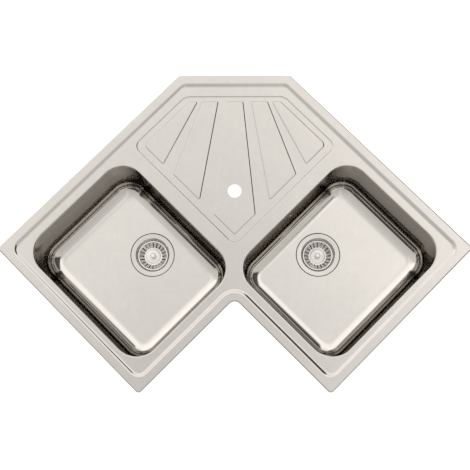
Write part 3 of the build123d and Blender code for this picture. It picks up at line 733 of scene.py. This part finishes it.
# -------------------- waste bodies
# Each body is moulded white plastic, drawn up under the bowl by a bolt through the cup's hub into a
# brass insert. Grip ribs run down it, three webs hold its boss and its outlet is threaded; the right
# one has a spigot for the overflow hose.
body_radius, body_flange, body_bore, body_neck, body_wall = 0.053, 0.004, 0.0445, 0.041, 0.003
body_shoulder, body_funnel = -0.015, -0.042
boss_radius, boss_top, boss_foot = 0.009, -0.040, -0.064
insert_radius, insert_top = 0.0065, -0.048
web_size, web_place = (0.033, 0.0025, 0.014), (0.0245, 0, -0.049)
rib_size, rib_place, rib_count = (0.0045, 0.002, 0.022), (0.0448, 0, -0.030), 16
outlet_radius, outlet_bore, outlet_top, outlet_foot = 0.0239, 0.020, -0.062, -0.084
outlet_pitch, outlet_groove = 0.0023, 0.0012
spigot_radius, spigot_bore, spigot_depth, spigot_reach = 0.010, 0.008, 0.050, 0.062
bolt_shank, bolt_root, bolt_foot, bolt_pitch = 0.004, 0.0034, -0.060, 0.00125
bolt_head, bolt_head_top, bolt_socket, bolt_socket_foot = 0.007, -0.032, 0.0033, -0.0445


def thread(crest, root, low, high, pitch, steps=24):
    """The ridge of a screw thread, wound up about Z between two heights."""
    piece = begin("thread")
    draw([(root, low), (crest, low + 0.3 * pitch), (crest, low + 0.45 * pitch), (root, low + 0.75 * pitch)])
    bpy.ops.mesh.edge_face_add()
    bpy.ops.mesh.delete(type="ONLY_FACE")
    bpy.ops.object.mode_set(mode="OBJECT")
    apply("SCREW", axis="Z", screw_offset=pitch, iterations=int((high - low) / pitch - 1), steps=steps,
          render_steps=steps)
    open_up()
    bpy.ops.mesh.fill_holes(sides=0)
    close_up()
    return piece


def join(piece, *others):
    """Joins other pieces to a piece and takes it in hand."""
    take(piece, *others)
    bpy.ops.object.join()
    return piece


white_plastic = moulded("white_plastic", (0.76, 0.755, 0.725), 0.40, mottle=0.05, grain=0.6)
thread_root = outlet_radius - outlet_groove
body = turned("waste_body", [
    (body_radius, gasket_foot), (body_radius, gasket_foot - body_flange),
    (body_bore + body_wall, gasket_foot - body_flange), (body_bore + body_wall, body_shoulder),
    (body_neck + body_wall, body_shoulder - body_wall), (body_neck + body_wall, body_funnel),
    (outlet_radius, outlet_top + 0.002), (outlet_radius, outlet_top + 0.001), (thread_root, outlet_top),
    (thread_root, outlet_foot), (outlet_bore, outlet_foot), (outlet_bore, outlet_top),
    (body_neck, body_funnel + 0.001), (body_neck, body_shoulder - 0.0015),
    (body_bore, body_shoulder + 0.0012), (body_bore, gasket_foot)], rounding=0.0007, steps=96)
boss = turned("boss", ring_outline(boss_radius, 0, boss_foot, boss_top), rounding=0.0005, steps=40)
bar(web_size, web_place, 0.0003)
webs = repeat(3, radians(30))
funnel = turned("funnel", [
    (0, body_funnel + 0.001), (body_neck + body_wall / 2, body_funnel + 0.001),
    (outlet_bore + body_wall / 2, outlet_top + 0.001), (0, outlet_top)], rounding=0)
cut(webs, copy_to(funnel, "web_funnel"), operation="INTERSECT")
bar(rib_size, rib_place, 0.0008)
cut(body, boss, webs, repeat(rib_count), operation="UNION")
cut(body, rod(insert_radius + fit, boss_foot - 0.001, insert_top),
    rod(bolt_shank + 0.0003, insert_top - 0.001, boss_top + 0.001))
ridge = thread(outlet_radius, thread_root - 0.0002, outlet_foot + 0.0008, outlet_top, outlet_pitch, steps=64)
spigot_frame = frame_at(0, 0, -spigot_depth, -pi / 2, "Y")
for side, side_name in ((-1, "left"), (1, "right")):
    piece = copy_to(body, f"{side_name}_moulded_body")
    if side > 0:                            # the spigot's inner end lies within the funnel's wall
        spigot = turned("spigot", ring_outline(spigot_radius, 0, outlet_radius - 0.001, spigot_reach),
                        steps=48)
        cut(put(spigot, spigot_frame), funnel)
        cut(piece, spigot, operation="UNION")
        cut(piece, put(rod(spigot_bore, outlet_bore + 0.001, spigot_reach + 0.001, sides=44), spigot_frame))
    put(join(piece, copy_to(ridge, "ridge")), waste_frame(side))
    finish(piece, "sink", white_plastic, f"{side_name}_waste_body")
bpy.data.objects.remove(body)
bpy.data.objects.remove(ridge)

turned_brass = metal("turned_brass", (0.62, 0.43, 0.17), 0.24, (300, 300, 2500), grain=0.3, haze=0.10)
both(turned("brass_insert", ring_outline(insert_radius, bolt_shank + fit, boss_foot, insert_top),
            rounding=0.0004, steps=48), "body_insert", turned_brass)
bolt = turned("hollow_bolt", [
    (0, bolt_foot), (bolt_root, bolt_foot), (bolt_root, cup_floor - 0.004), (bolt_shank, cup_floor - 0.0035),
    (bolt_shank, cup_floor), (bolt_head, cup_floor), (bolt_head, bolt_head_top), (bolt_socket, bolt_head_top),
    (bolt_socket, bolt_socket_foot), (0, bolt_socket_foot)], rounding=0.0004, steps=48)
join(bolt, thread(bolt_shank, bolt_root - 0.0001, bolt_foot + 0.0004, cup_floor - 0.004, bolt_pitch))
both(bolt, "waste_bolt", polished_steel)


# -------------------- overflow
# Behind the slots a rubber gasket and a moulded box are pulled against the wall by one domed screw.
# A ribbed plastic hose, clipped at both ends, takes the water down to the waste body.
elbow_front, elbow_back, elbow_width = 0.173, 0.198, 0.052
elbow_top, elbow_foot, elbow_wall, elbow_corner = -0.027, -0.050, 0.002, 0.006
elbow_post, elbow_spigot_end = 0.005, -0.072
gasket_front, window_side, window_end = 0.169, 0.005, 0.0025
screw_head, screw_dome, screw_length, screw_root = 0.0038, 0.0026, 0.018, 0.0021
screw_slot, screw_slot_depth, screw_pitch = 0.001, 0.0013, 0.0008
hose_drop_offset, hose_top, hose_bend, hose_end_reach = 0.186, -0.054, 0.050, 0.046
hose_cuff, hose_cuff_length, hose_bore = 0.0122, 0.018, 0.0101
hose_valley, hose_crest, rib_pitch = 0.0113, 0.0128, 0.004
clip_place, clip_band, clip_width = 0.009, 0.001, 0.008
clip_slot, clip_slots, clip_slot_turn = (0.006, 0.001, 0.005), 21, 0.16
clip_housing = (0.006, 0.010, 0.009)
worm_head, worm_shank, worm_thread, worm_length, worm_pitch = 0.003, 0.0022, 0.0028, 0.018, 0.0012
worm_shoulder, worm_slot = 0.0052, (0.01, 0.0008, 0.003)

elbow_middle, elbow_height = (elbow_top + elbow_foot) / 2, elbow_top - elbow_foot
gasket = bar((elbow_front - gasket_front, elbow_width, elbow_height),
             (-(elbow_front + gasket_front) / 2, 0, elbow_middle), 0.002, along=0)
cut(gasket, bar((0.02, elbow_width - 2 * window_side, elbow_height - 2 * window_end),
                (-elbow_front, 0, elbow_middle), 0.002, along=0))
open_up()
bpy.ops.mesh.bisect(plane_co=(-half_width - sheet, 0, -collar), plane_no=(1, 0, tan(bowl_draft)),
                    use_fill=True, clear_outer=True)
bpy.ops.object.mode_set(mode="OBJECT")
put(gasket, bowl_frame(1))
gasket.name = "overflow_window_gasket"
finish(gasket, "sink", black_rubber, "overflow_gasket")

elbow_length, elbow_centre = elbow_back - elbow_front, -(elbow_front + elbow_back) / 2
elbow = bar((elbow_length + 2 * elbow_corner, elbow_width, elbow_height),
            (elbow_centre + elbow_corner, 0, elbow_middle), elbow_corner, segments=8, along=2)
cut(elbow, bar((3 * elbow_corner, 2 * elbow_width, 2 * elbow_height),
               (1.5 * elbow_corner - elbow_front, 0, elbow_middle)))
ease(0.0007)
cut(elbow, bar((elbow_length, elbow_width - 4 * elbow_wall, elbow_height - 2 * elbow_wall),
               (elbow_centre + elbow_wall, 0, elbow_middle), 0.002, along=0))
drop_frame = frame_at(-hose_drop_offset, 0, 0)
spout = turned("spout", ring_outline(spigot_radius, 0, elbow_spigot_end, elbow_foot + 0.001), steps=48)
post = turned("post", ring_outline(elbow_post, 0, half_width - elbow_back + 0.0005,
                                   half_width - elbow_front - 0.001), rounding=0, steps=32)
cut(elbow, put(spout, drop_frame), put(post, overflow_frame), operation="UNION")
cut(elbow, put(rod(spigot_bore, elbow_spigot_end - 0.001, elbow_foot + elbow_wall + 0.0005, 44), drop_frame),
    put(rod(screw_radius + fit, -0.022, 0.005), overflow_frame))
put(elbow, bowl_frame(1))
elbow.name = "moulded_elbow"
finish(elbow, "sink", white_plastic, "overflow_elbow")

screw = turned("domed_screw", [
    (0, -screw_length), (screw_root, -screw_length), (screw_root, -0.003), (screw_radius, -0.0025),
    (screw_radius, 0), (screw_head, 0), (screw_head, 0.0008), (0.85 * screw_head, 0.0017),
    (0.6 * screw_head, 0.0023), (0.3 * screw_head, 0.00255), (0, screw_dome)], rounding=0.0002, steps=48)
cut(screw, bar((4 * screw_head, screw_slot, 2 * screw_slot_depth), (0, 0, screw_dome)))
join(screw, thread(screw_radius, screw_root - 0.0001, 0.0004 - screw_length, -0.003, screw_pitch))
put(screw, bowl_frame(1) @ overflow_frame)
finish(screw, "sink", basket_steel, "overflow_screw")

hose_low = -bowl_depth - spigot_depth
hose_drop = hose_top - hose_low - hose_bend
hose_turn = hose_bend * pi / 2
hose_length = hose_drop + hose_turn + hose_drop_offset - hose_bend - waste_offset - hose_end_reach


def hose_place(travel):
    """The frame at a distance along the hose: straight down, round a quarter turn, and level."""
    angle = min(max((travel - hose_drop) / hose_bend, 0), pi / 2)
    x = -hose_drop_offset + hose_bend * (1 - cos(angle)) + max(travel - hose_drop - hose_turn, 0)
    z = hose_low + hose_bend * (1 - sin(angle)) + max(hose_drop - travel, 0)
    return frame_at(x, 0, z, pi - angle, "Y")


ribbed_length = hose_length - 2 * hose_cuff_length
hose_ribs = int(ribbed_length // rib_pitch)
rib_line = ((0.10, 0), (0.35, 0), (0.44, 0.25), (0.52, 0.8), (0.60, 1), (0.76, 1), (0.84, 0.8), (0.92, 0.25))
hose_outside = [(hose_cuff, 0), (hose_cuff, hose_cuff_length)]
hose_outside += [(hose_valley + rise * (hose_crest - hose_valley),
                  hose_cuff_length + (number + share) * ribbed_length / hose_ribs)
                 for number in range(hose_ribs) for share, rise in rib_line]
hose_outside += [(hose_cuff, hose_length - hose_cuff_length), (hose_cuff, hose_length)]
hose_inside = [(hose_bore, hose_length * (1 - share / hose_ribs)) for share in range(hose_ribs + 1)]
hose = turned("ribbed_hose", hose_outside + hose_inside, rounding=0, steps=48)
for vertex in hose.data.vertices:
    x, y, travel = vertex.co
    vertex.co = hose_place(travel) @ Vector((x, y, 0))
put(hose, bowl_frame(1))
hose_plastic = moulded("white_hose_plastic", (0.72, 0.72, 0.70), 0.33, mottle=0.06, grain=0.5)
finish(hose, "sink", hose_plastic, "overflow_hose", degrees=50)

zinc_steel = metal("zinc_plated_steel", (0.50, 0.51, 0.52), 0.30, (500, 500, 500), grain=0.5, haze=0.22)
clip = turned("worm_clip", ring_outline(hose_cuff + clip_band, hose_cuff, -clip_width / 2, clip_width / 2),
              rounding=0.0002, steps=96)
bar(clip_slot, (-hose_cuff, 0, 0), 0.0003, along=0)
cut(clip, repeat(clip_slots, (clip_slots - 1) / 2 * clip_slot_turn, pitch=-clip_slot_turn))
housing = bar(clip_housing, (hose_cuff + clip_housing[0] / 2, 0, 0), 0.0018)
cut(housing, rod(hose_cuff + 0.0002, -0.01, 0.01, 64))
worm_end = worm_length / 2
worm = turned("worm", [
    (0, -worm_end), (worm_shank, -worm_end), (worm_shank, worm_shoulder), (worm_head, worm_shoulder),
    (worm_head, worm_end), (0, worm_end)], rounding=0.0003, steps=24)
cut(worm, bar(worm_slot, (0, 0, worm_end), along=0))
join(worm, thread(worm_thread, worm_shank - 0.0001, 0.0005 - worm_end, -clip_housing[2] / 2, worm_pitch))
put(worm, frame_at(hose_cuff + clip_housing[0] / 2, 0, 0, pi / 2, "X"))
join(clip, housing, worm)
second = copy_to(clip, "second_clip", bowl_frame(1) @ hose_place(hose_length - clip_place))
put(clip, bowl_frame(1) @ hose_place(clip_place))
join(clip, second)
finish(clip, "sink", zinc_steel, "hose_clips")


# -------------------- damping pads
# A grey rubber pad with a waffle face is stuck under each bowl's floor. It deadens the sound of
# falling water and of crockery that is put down.
pad_width, pad_length, pad_corner, pad_thickness, pad_offset = 0.112, 0.270, 0.008, 0.003, 0.066
pad_rows, pad_wall, pad_sink = (14, 34), 0.0011, 0.0006
pad_foot = -bowl_depth - sheet - pad_thickness
pad = begin("waffle_pad")
bpy.ops.mesh.primitive_grid_add(x_subdivisions=pad_rows[0], y_subdivisions=pad_rows[1], size=1.0,
                                location=(pad_offset, 0, pad_foot))
bpy.ops.transform.resize(value=(pad_width, pad_length, 1), center_override=(pad_offset, 0, pad_foot))
bpy.ops.mesh.select_mode(type="FACE")
bpy.ops.mesh.select_all(action="SELECT")
bpy.ops.mesh.inset(thickness=pad_wall, depth=pad_sink, use_individual=True)
pick("EDGE", lambda edge: len(edge.link_faces) == 1)
draw_out(0, 0, pad_thickness)
bpy.ops.mesh.edge_face_add()
close_up()
cut(pad, bar((pad_width, pad_length, 2 * pad_thickness), (pad_offset, 0, pad_foot + pad_thickness / 2),
             pad_corner, segments=6, along=2), operation="INTERSECT")
grey_rubber = moulded("grey_pad_rubber", (0.055, 0.055, 0.058), 0.70, mottle=0.6, grain=3.0)
both(pad, "sound_pad", grey_rubber, place=bowl_frame, degrees=30)


# -------------------- rim seal
# A strip of grey closed-cell foam is stuck under the rim band. It seals the sink to the worktop when
# the clamps are drawn up.
seal_from, seal_to = 0.003, 0.011
seal = begin("foam_strip")
seal_edges = []
for inset in (seal_from, seal_to):
    radii = [max(radius - turn * inset, 0.0005) for radius, turn in zip(rim_radii, rim_turns)]
    seal_edges.append(outline(sink_corners, radii, worktop, inset=inset))
    bpy.ops.mesh.delete(type="ONLY_FACE")
fill_between(*seal_edges)
bpy.ops.mesh.select_all(action="SELECT")
draw_out(0, 0, rim_top - sheet - worktop)
close_up()
ease(0.0004)
# The cells sink the foam's pits and darken them with painted shade.
foam = moulded("grey_foam", (0.045, 0.045, 0.048), 0.85, mottle=0.4, grain=2.0, cells=0.9)
finish(seal, "sink", foam, "rim_seal")


# -------------------- clamps
# Ten clamps hold the sink down. A folded bracket is welded under the deck at each place; a bolt hangs
# in it, and carries a toothed claw that swings out under the worktop and a wing nut that draws it up.
clamp_inset, clamp_bolt, clamp_root, clamp_pitch, clamp_foot = 0.025, 0.003, 0.00255, 0.001, -0.066
thread_end = -0.026
head_flats, head_height = 0.010, 0.004
chamfer_foot, chamfer_radius, chamfer_top = 0.00545, 0.0058, 0.0049
bracket_sheet, bracket_width, bracket_foot = 0.0015, 0.028, -0.018
bracket_back, bracket_web, bracket_front = -0.014, -0.0065, 0.007
bracket_fold, bracket_corner, claw_fold, claw_corner = 0.0016, 0.003, 0.0024, 0.0008
claw_top, claw_reach, claw_tail, claw_width = -0.054, 0.021, 0.009, 0.016
claw_sheet, claw_lip = 0.002, 0.008
tooth_gaps, tooth_pitch, tooth_size, clamp_fit = 4, 0.004, 0.0024, 0.00008
nut_top_radius, nut_foot_radius, nut_height, nut_turn = 0.006, 0.005, 0.007, radians(20)
wing_thickness = 0.002
right_clamps = (("wall", 0.300), ("wall", 0.620), ("end", 0.130), ("end", 0.372), ("front", 0.660))


def folded(name, points, width, thickness, fold, corner):
    """A strip of sheet folded along (x, z) points; its thickness is to the right of the line."""
    piece = begin(name)
    draw(points)
    bpy.ops.transform.translate(value=(0, -width / 2, 0))
    draw_out(0, width, 0)
    for places, offset, kind in (((points[0], points[-1]), corner, "VERT"), (points[1:-1], fold, "EDGE")):
        pick(kind, lambda part: any(
            all((vertex.co.xz - Vector(place)).length < near for vertex in getattr(part, "verts", [part]))
            for place in places))
        bpy.ops.mesh.bevel(offset=offset, segments=4, affect="VERTICES" if kind == "VERT" else "EDGES")
    bpy.ops.mesh.select_all(action="SELECT")
    bpy.ops.mesh.normals_make_consistent(inside=False)
    (x, z), (following_x, following_z) = points[:2]
    first = min(in_hand()[0].faces, key=lambda face: (face.calc_center_median().xz - Vector(
        ((x + following_x) / 2, (z + following_z) / 2))).length)
    if first.normal.x * (z - following_z) + first.normal.z * (following_x - x) < 0:
        bpy.ops.mesh.flip_normals()
    bpy.ops.object.mode_set(mode="OBJECT")
    apply("SOLIDIFY", thickness=thickness, offset=-1, use_even_offset=True)
    ease(0.0002)
    return piece


clamp_frames = []
for edge, along in right_clamps:
    walls, facing = {"wall": ((along, clamp_inset), 45), "end": ((leg_length - clamp_inset, along), -45),
                     "front": ((along, leg_depth - clamp_inset), -135)}[edge]
    x, y = from_walls(*walls)
    for way, turn in ((1, facing), (-1, 180 - facing)):
        clamp_frames.append(frame_at(way * x, y, 0, radians(turn)))

bracket = folded("folded_brackets", [
    (bracket_back, -sheet), (bracket_web, -sheet), (bracket_web, bracket_foot + bracket_sheet),
    (bracket_front, bracket_foot + bracket_sheet)],
    bracket_width, bracket_sheet, bracket_fold, bracket_corner)
cut(bracket, rod(clamp_bolt + 0.0002, bracket_foot - 0.001, bracket_foot + 0.003))
head_foot = bracket_foot + bracket_sheet
head_top = head_foot + head_height
head = rod(head_flats / 2 / cos(pi / 6), head_foot, head_top, sides=6)
cut(head, turned("chamfer", [
    (0, head_foot), (chamfer_foot, head_foot), (chamfer_radius, head_foot + 0.0004),
    (chamfer_radius, head_top - 0.0008), (chamfer_top, head_top), (0, head_top)], rounding=0),
    operation="INTERSECT")
head.name = "clamp_hex_bolts"
shank = turned("shank", ring_outline(clamp_root, 0, clamp_foot, head_foot + 0.0005), steps=20)
plain = turned("plain", ring_outline(clamp_bolt, 0, thread_end, head_foot + 0.0002), steps=20)
ridge = thread(clamp_bolt, clamp_root - 0.0001, clamp_foot + 0.0003, thread_end + 0.0005, clamp_pitch, 16)
join(head, shank, plain, ridge)
for pattern, node in ((bracket, "clamp_brackets"), (head, "clamp_bolts")):
    copies = [copy_to(pattern, f"{node}_copy", place) for place in clamp_frames[1:]]
    join(put(pattern, clamp_frames[0]), *copies)
    finish(pattern, "sink", zinc_steel, node)

claw_foot = claw_top - claw_sheet
claw = folded("toothed_claw", [
    (claw_reach, claw_top + claw_lip), (claw_reach, claw_foot), (-claw_tail, claw_foot)],
    claw_width, claw_sheet, claw_fold, claw_corner)
notches = [put(bar((3 * claw_sheet, tooth_size, tooth_size), (0, 0, 0), along=0),
               frame_at(claw_reach, (number - (tooth_gaps - 1) / 2) * tooth_pitch, claw_top + claw_lip,
                        pi / 4, "X")) for number in range(tooth_gaps)]
cut(claw, *notches, rod(clamp_bolt + clamp_fit, claw_top - 0.004, claw_top + 0.001))

nut_top = claw_foot - 0.0003
nut_foot = nut_top - nut_height
nut = turned("wing_nut", [
    (0, nut_foot), (nut_foot_radius, nut_foot), (nut_top_radius, nut_top), (0, nut_top)],
    rounding=0.0006, steps=40)
begin("wing")
draw([(0.004, nut_top - 0.0065), (0.0095, nut_top - 0.0027), (0.013, nut_top - 0.001),
      (0.0146, nut_top - 0.0018), (0.015, nut_top - 0.004), (0.0147, nut_top - 0.0075),
      (0.0135, nut_top - 0.0095), (0.0105, nut_top - 0.0098), (0.007, nut_top - 0.0085)])
bpy.ops.mesh.edge_face_add()
bpy.ops.transform.translate(value=(0, -wing_thickness / 2, 0))
draw_out(0, wing_thickness, 0)
close_up()
ease(0.0005, segments=3, degrees=50)
cut(nut, repeat(2), operation="UNION")
cut(nut, rod(clamp_bolt + clamp_fit, nut_foot - 0.004, nut_top + 0.001))
moving = ((claw, -pi / 2, "claw", "clamp_claw"), (nut, nut_turn, "nut", "wing_nut"))
for number, place in enumerate(clamp_frames, start=1):
    for pattern, turn, body_name, node in moving:
        piece = copy_to(pattern, f"{pattern.name}_{number}_piece", place @ Matrix.Rotation(turn, 4, "Z"))
        finish(piece, f"{body_name}_{number}", zinc_steel, f"{node}_{number}")
bpy.data.objects.remove(claw)
bpy.data.objects.remove(nut)


# -------------------- floor, light, camera
# The sink stands on a pale floor in a soft studio. Overhead is one broad light, brighter to the back
# and the sides, with a window to the upper left. It is dark to the right, low down at the front, and
# all round just above the floor.
floor_level = -0.2641
floor_glow = 0.88                           # what the floor gives off, to the camera only
light_tint = (1.0, 0.978, 0.95)
# Each soft edge is where it starts and ends on the world's X, Y or Z, and its level before and after.
ceiling_z, ceiling_level, ceiling_limit = (0.45, 0.70, 0.0, 1.0), 0.83, 1.30
low_rise, low_level = 0.25, 0.80
front_share = 0.3
end_gain, end_limit, side_gain, side_y = 5.0, 0.26, 0.5, (-0.12, 0.06, 0.0, 1.0)
middle_left_x, middle_right_x = (-0.08, 0.04, 0.0, 0.14), (0.14, 0.28, 1.0, 0.0)
middle_y = (-0.02, 0.08, 1.0, 0.0)
window_left, window_y, window_z = (0.38, 0.58, 0.0, 1.38), (0.10, 0.30, 0.0, 1.0), (0.30, 0.56, 0.40, 1.0)
right_x = (0.36, 0.52, 1.0, 0.08)
right_back_y, right_front_y = (0.76, 0.88, 0.08, 1.0), (-0.30, -0.12, 1.0, 0.08)
front_y, front_z, horizon_z = (-0.15, 0.05, 0.12, 1.0), (0.18, 0.42, 0.12, 1.0), (0.04, 0.27, 0.05, 1.0)


def room():
    """The studio round the sink, seen only in its reflections; the camera sees white."""
    world = bpy.data.worlds.new("soft_studio")
    world.use_nodes = True
    tree = world.node_tree
    place = new_node(tree, "ShaderNodeTexCoord").outputs["Generated"]
    x, y, z = new_node(tree, "ShaderNodeSeparateXYZ", _0=place).outputs

    def soft(value, edge):
        """A smooth step from one level to another."""
        start, end, before, after = edge
        return new_node(tree, "ShaderNodeMapRange", {"interpolation_type": "SMOOTHSTEP"}, _0=value, _1=start,
                        _2=end, _3=before, _4=after).outputs[0]

    def sums(operation):
        """Sums of one kind on two numbers."""
        return lambda first, second: maths(tree, operation, first, second)

    times, plus, minus = sums("MULTIPLY"), sums("ADD"), sums("SUBTRACT")
    most, least = sums("MAXIMUM"), sums("MINIMUM")
    ends = least(times(times(x, x), end_gain), end_limit)
    sides = times(maths(tree, "MULTIPLY_ADD", x, side_gain, ends), soft(y, side_y))
    middle = times(soft(x, middle_left_x), soft(x, middle_right_x))
    middle = maths(tree, "MULTIPLY_ADD", middle, soft(y, middle_y), ceiling_level)
    ceiling = least(plus(plus(most(y, times(y, front_share)), sides), middle), ceiling_limit)
    low = maths(tree, "MULTIPLY_ADD", y, low_rise, low_level)
    bright = maths(tree, "MULTIPLY_ADD", minus(ceiling, low), soft(z, ceiling_z), low)
    upper_left = times(minus(y, x), sqrt(0.5))
    window = times(soft(upper_left, window_left), soft(y, window_y))
    bright = most(bright, times(window, soft(z, window_z)))
    right = most(most(soft(x, right_x), soft(y, right_back_y)), soft(y, right_front_y))
    front = most(soft(y, front_y), soft(z, front_z))
    level = times(times(bright, right), times(front, soft(z, horizon_z)))
    background = tree.nodes["Background"]
    background.inputs["Color"].default_value = (*light_tint, 1)
    to_camera = new_node(tree, "ShaderNodeLightPath").outputs["Is Camera Ray"]
    white = new_node(tree, "ShaderNodeBackground", Color=(1, 1, 1, 1), Strength=1.0)
    tree.links.new(level, background.inputs["Strength"])
    shown = new_node(tree, "ShaderNodeMixShader", _0=to_camera, _1=background.outputs[0], _2=white.outputs[0])
    tree.links.new(shown.outputs[0], tree.nodes["World Output"].inputs["Surface"])
    return world


bpy.context.scene.world = room()
bpy.ops.object.select_all(action="DESELECT")
bpy.ops.mesh.primitive_plane_add(size=12, location=(0, 0, floor_level))
ground = bpy.context.object
ground.name = "studio_floor"
pale = bpy.data.materials.new("pale_floor")
pale.use_nodes = True
tree = pale.node_tree
shader = tree.nodes["Principled BSDF"]
shader.inputs["Base Color"].default_value = (0.6, 0.59, 0.58, 1)
shader.inputs["Roughness"].default_value = 0.9
shader.inputs["Emission Color"].default_value = (1, 1, 1, 1)
path = new_node(tree, "ShaderNodeLightPath").outputs
seen = maths(tree, "MULTIPLY", path["Is Camera Ray"], floor_glow)
tree.links.new(seen, shader.inputs["Emission Strength"])
ground.data.materials.append(pale)

view = bpy.data.cameras.new("view_from_above")
view.lens, view.sensor_width = 76.57, 36
camera = bpy.data.objects.new("view_from_above", view)
camera.location = (0.0222, -0.5470, 2.4368)
camera.rotation_euler = (radians(10.125), radians(0.498), radians(0.008))
bpy.context.collection.objects.link(camera)
bpy.context.scene.camera = camera
bpy.context.scene.view_settings.view_transform = "Standard"
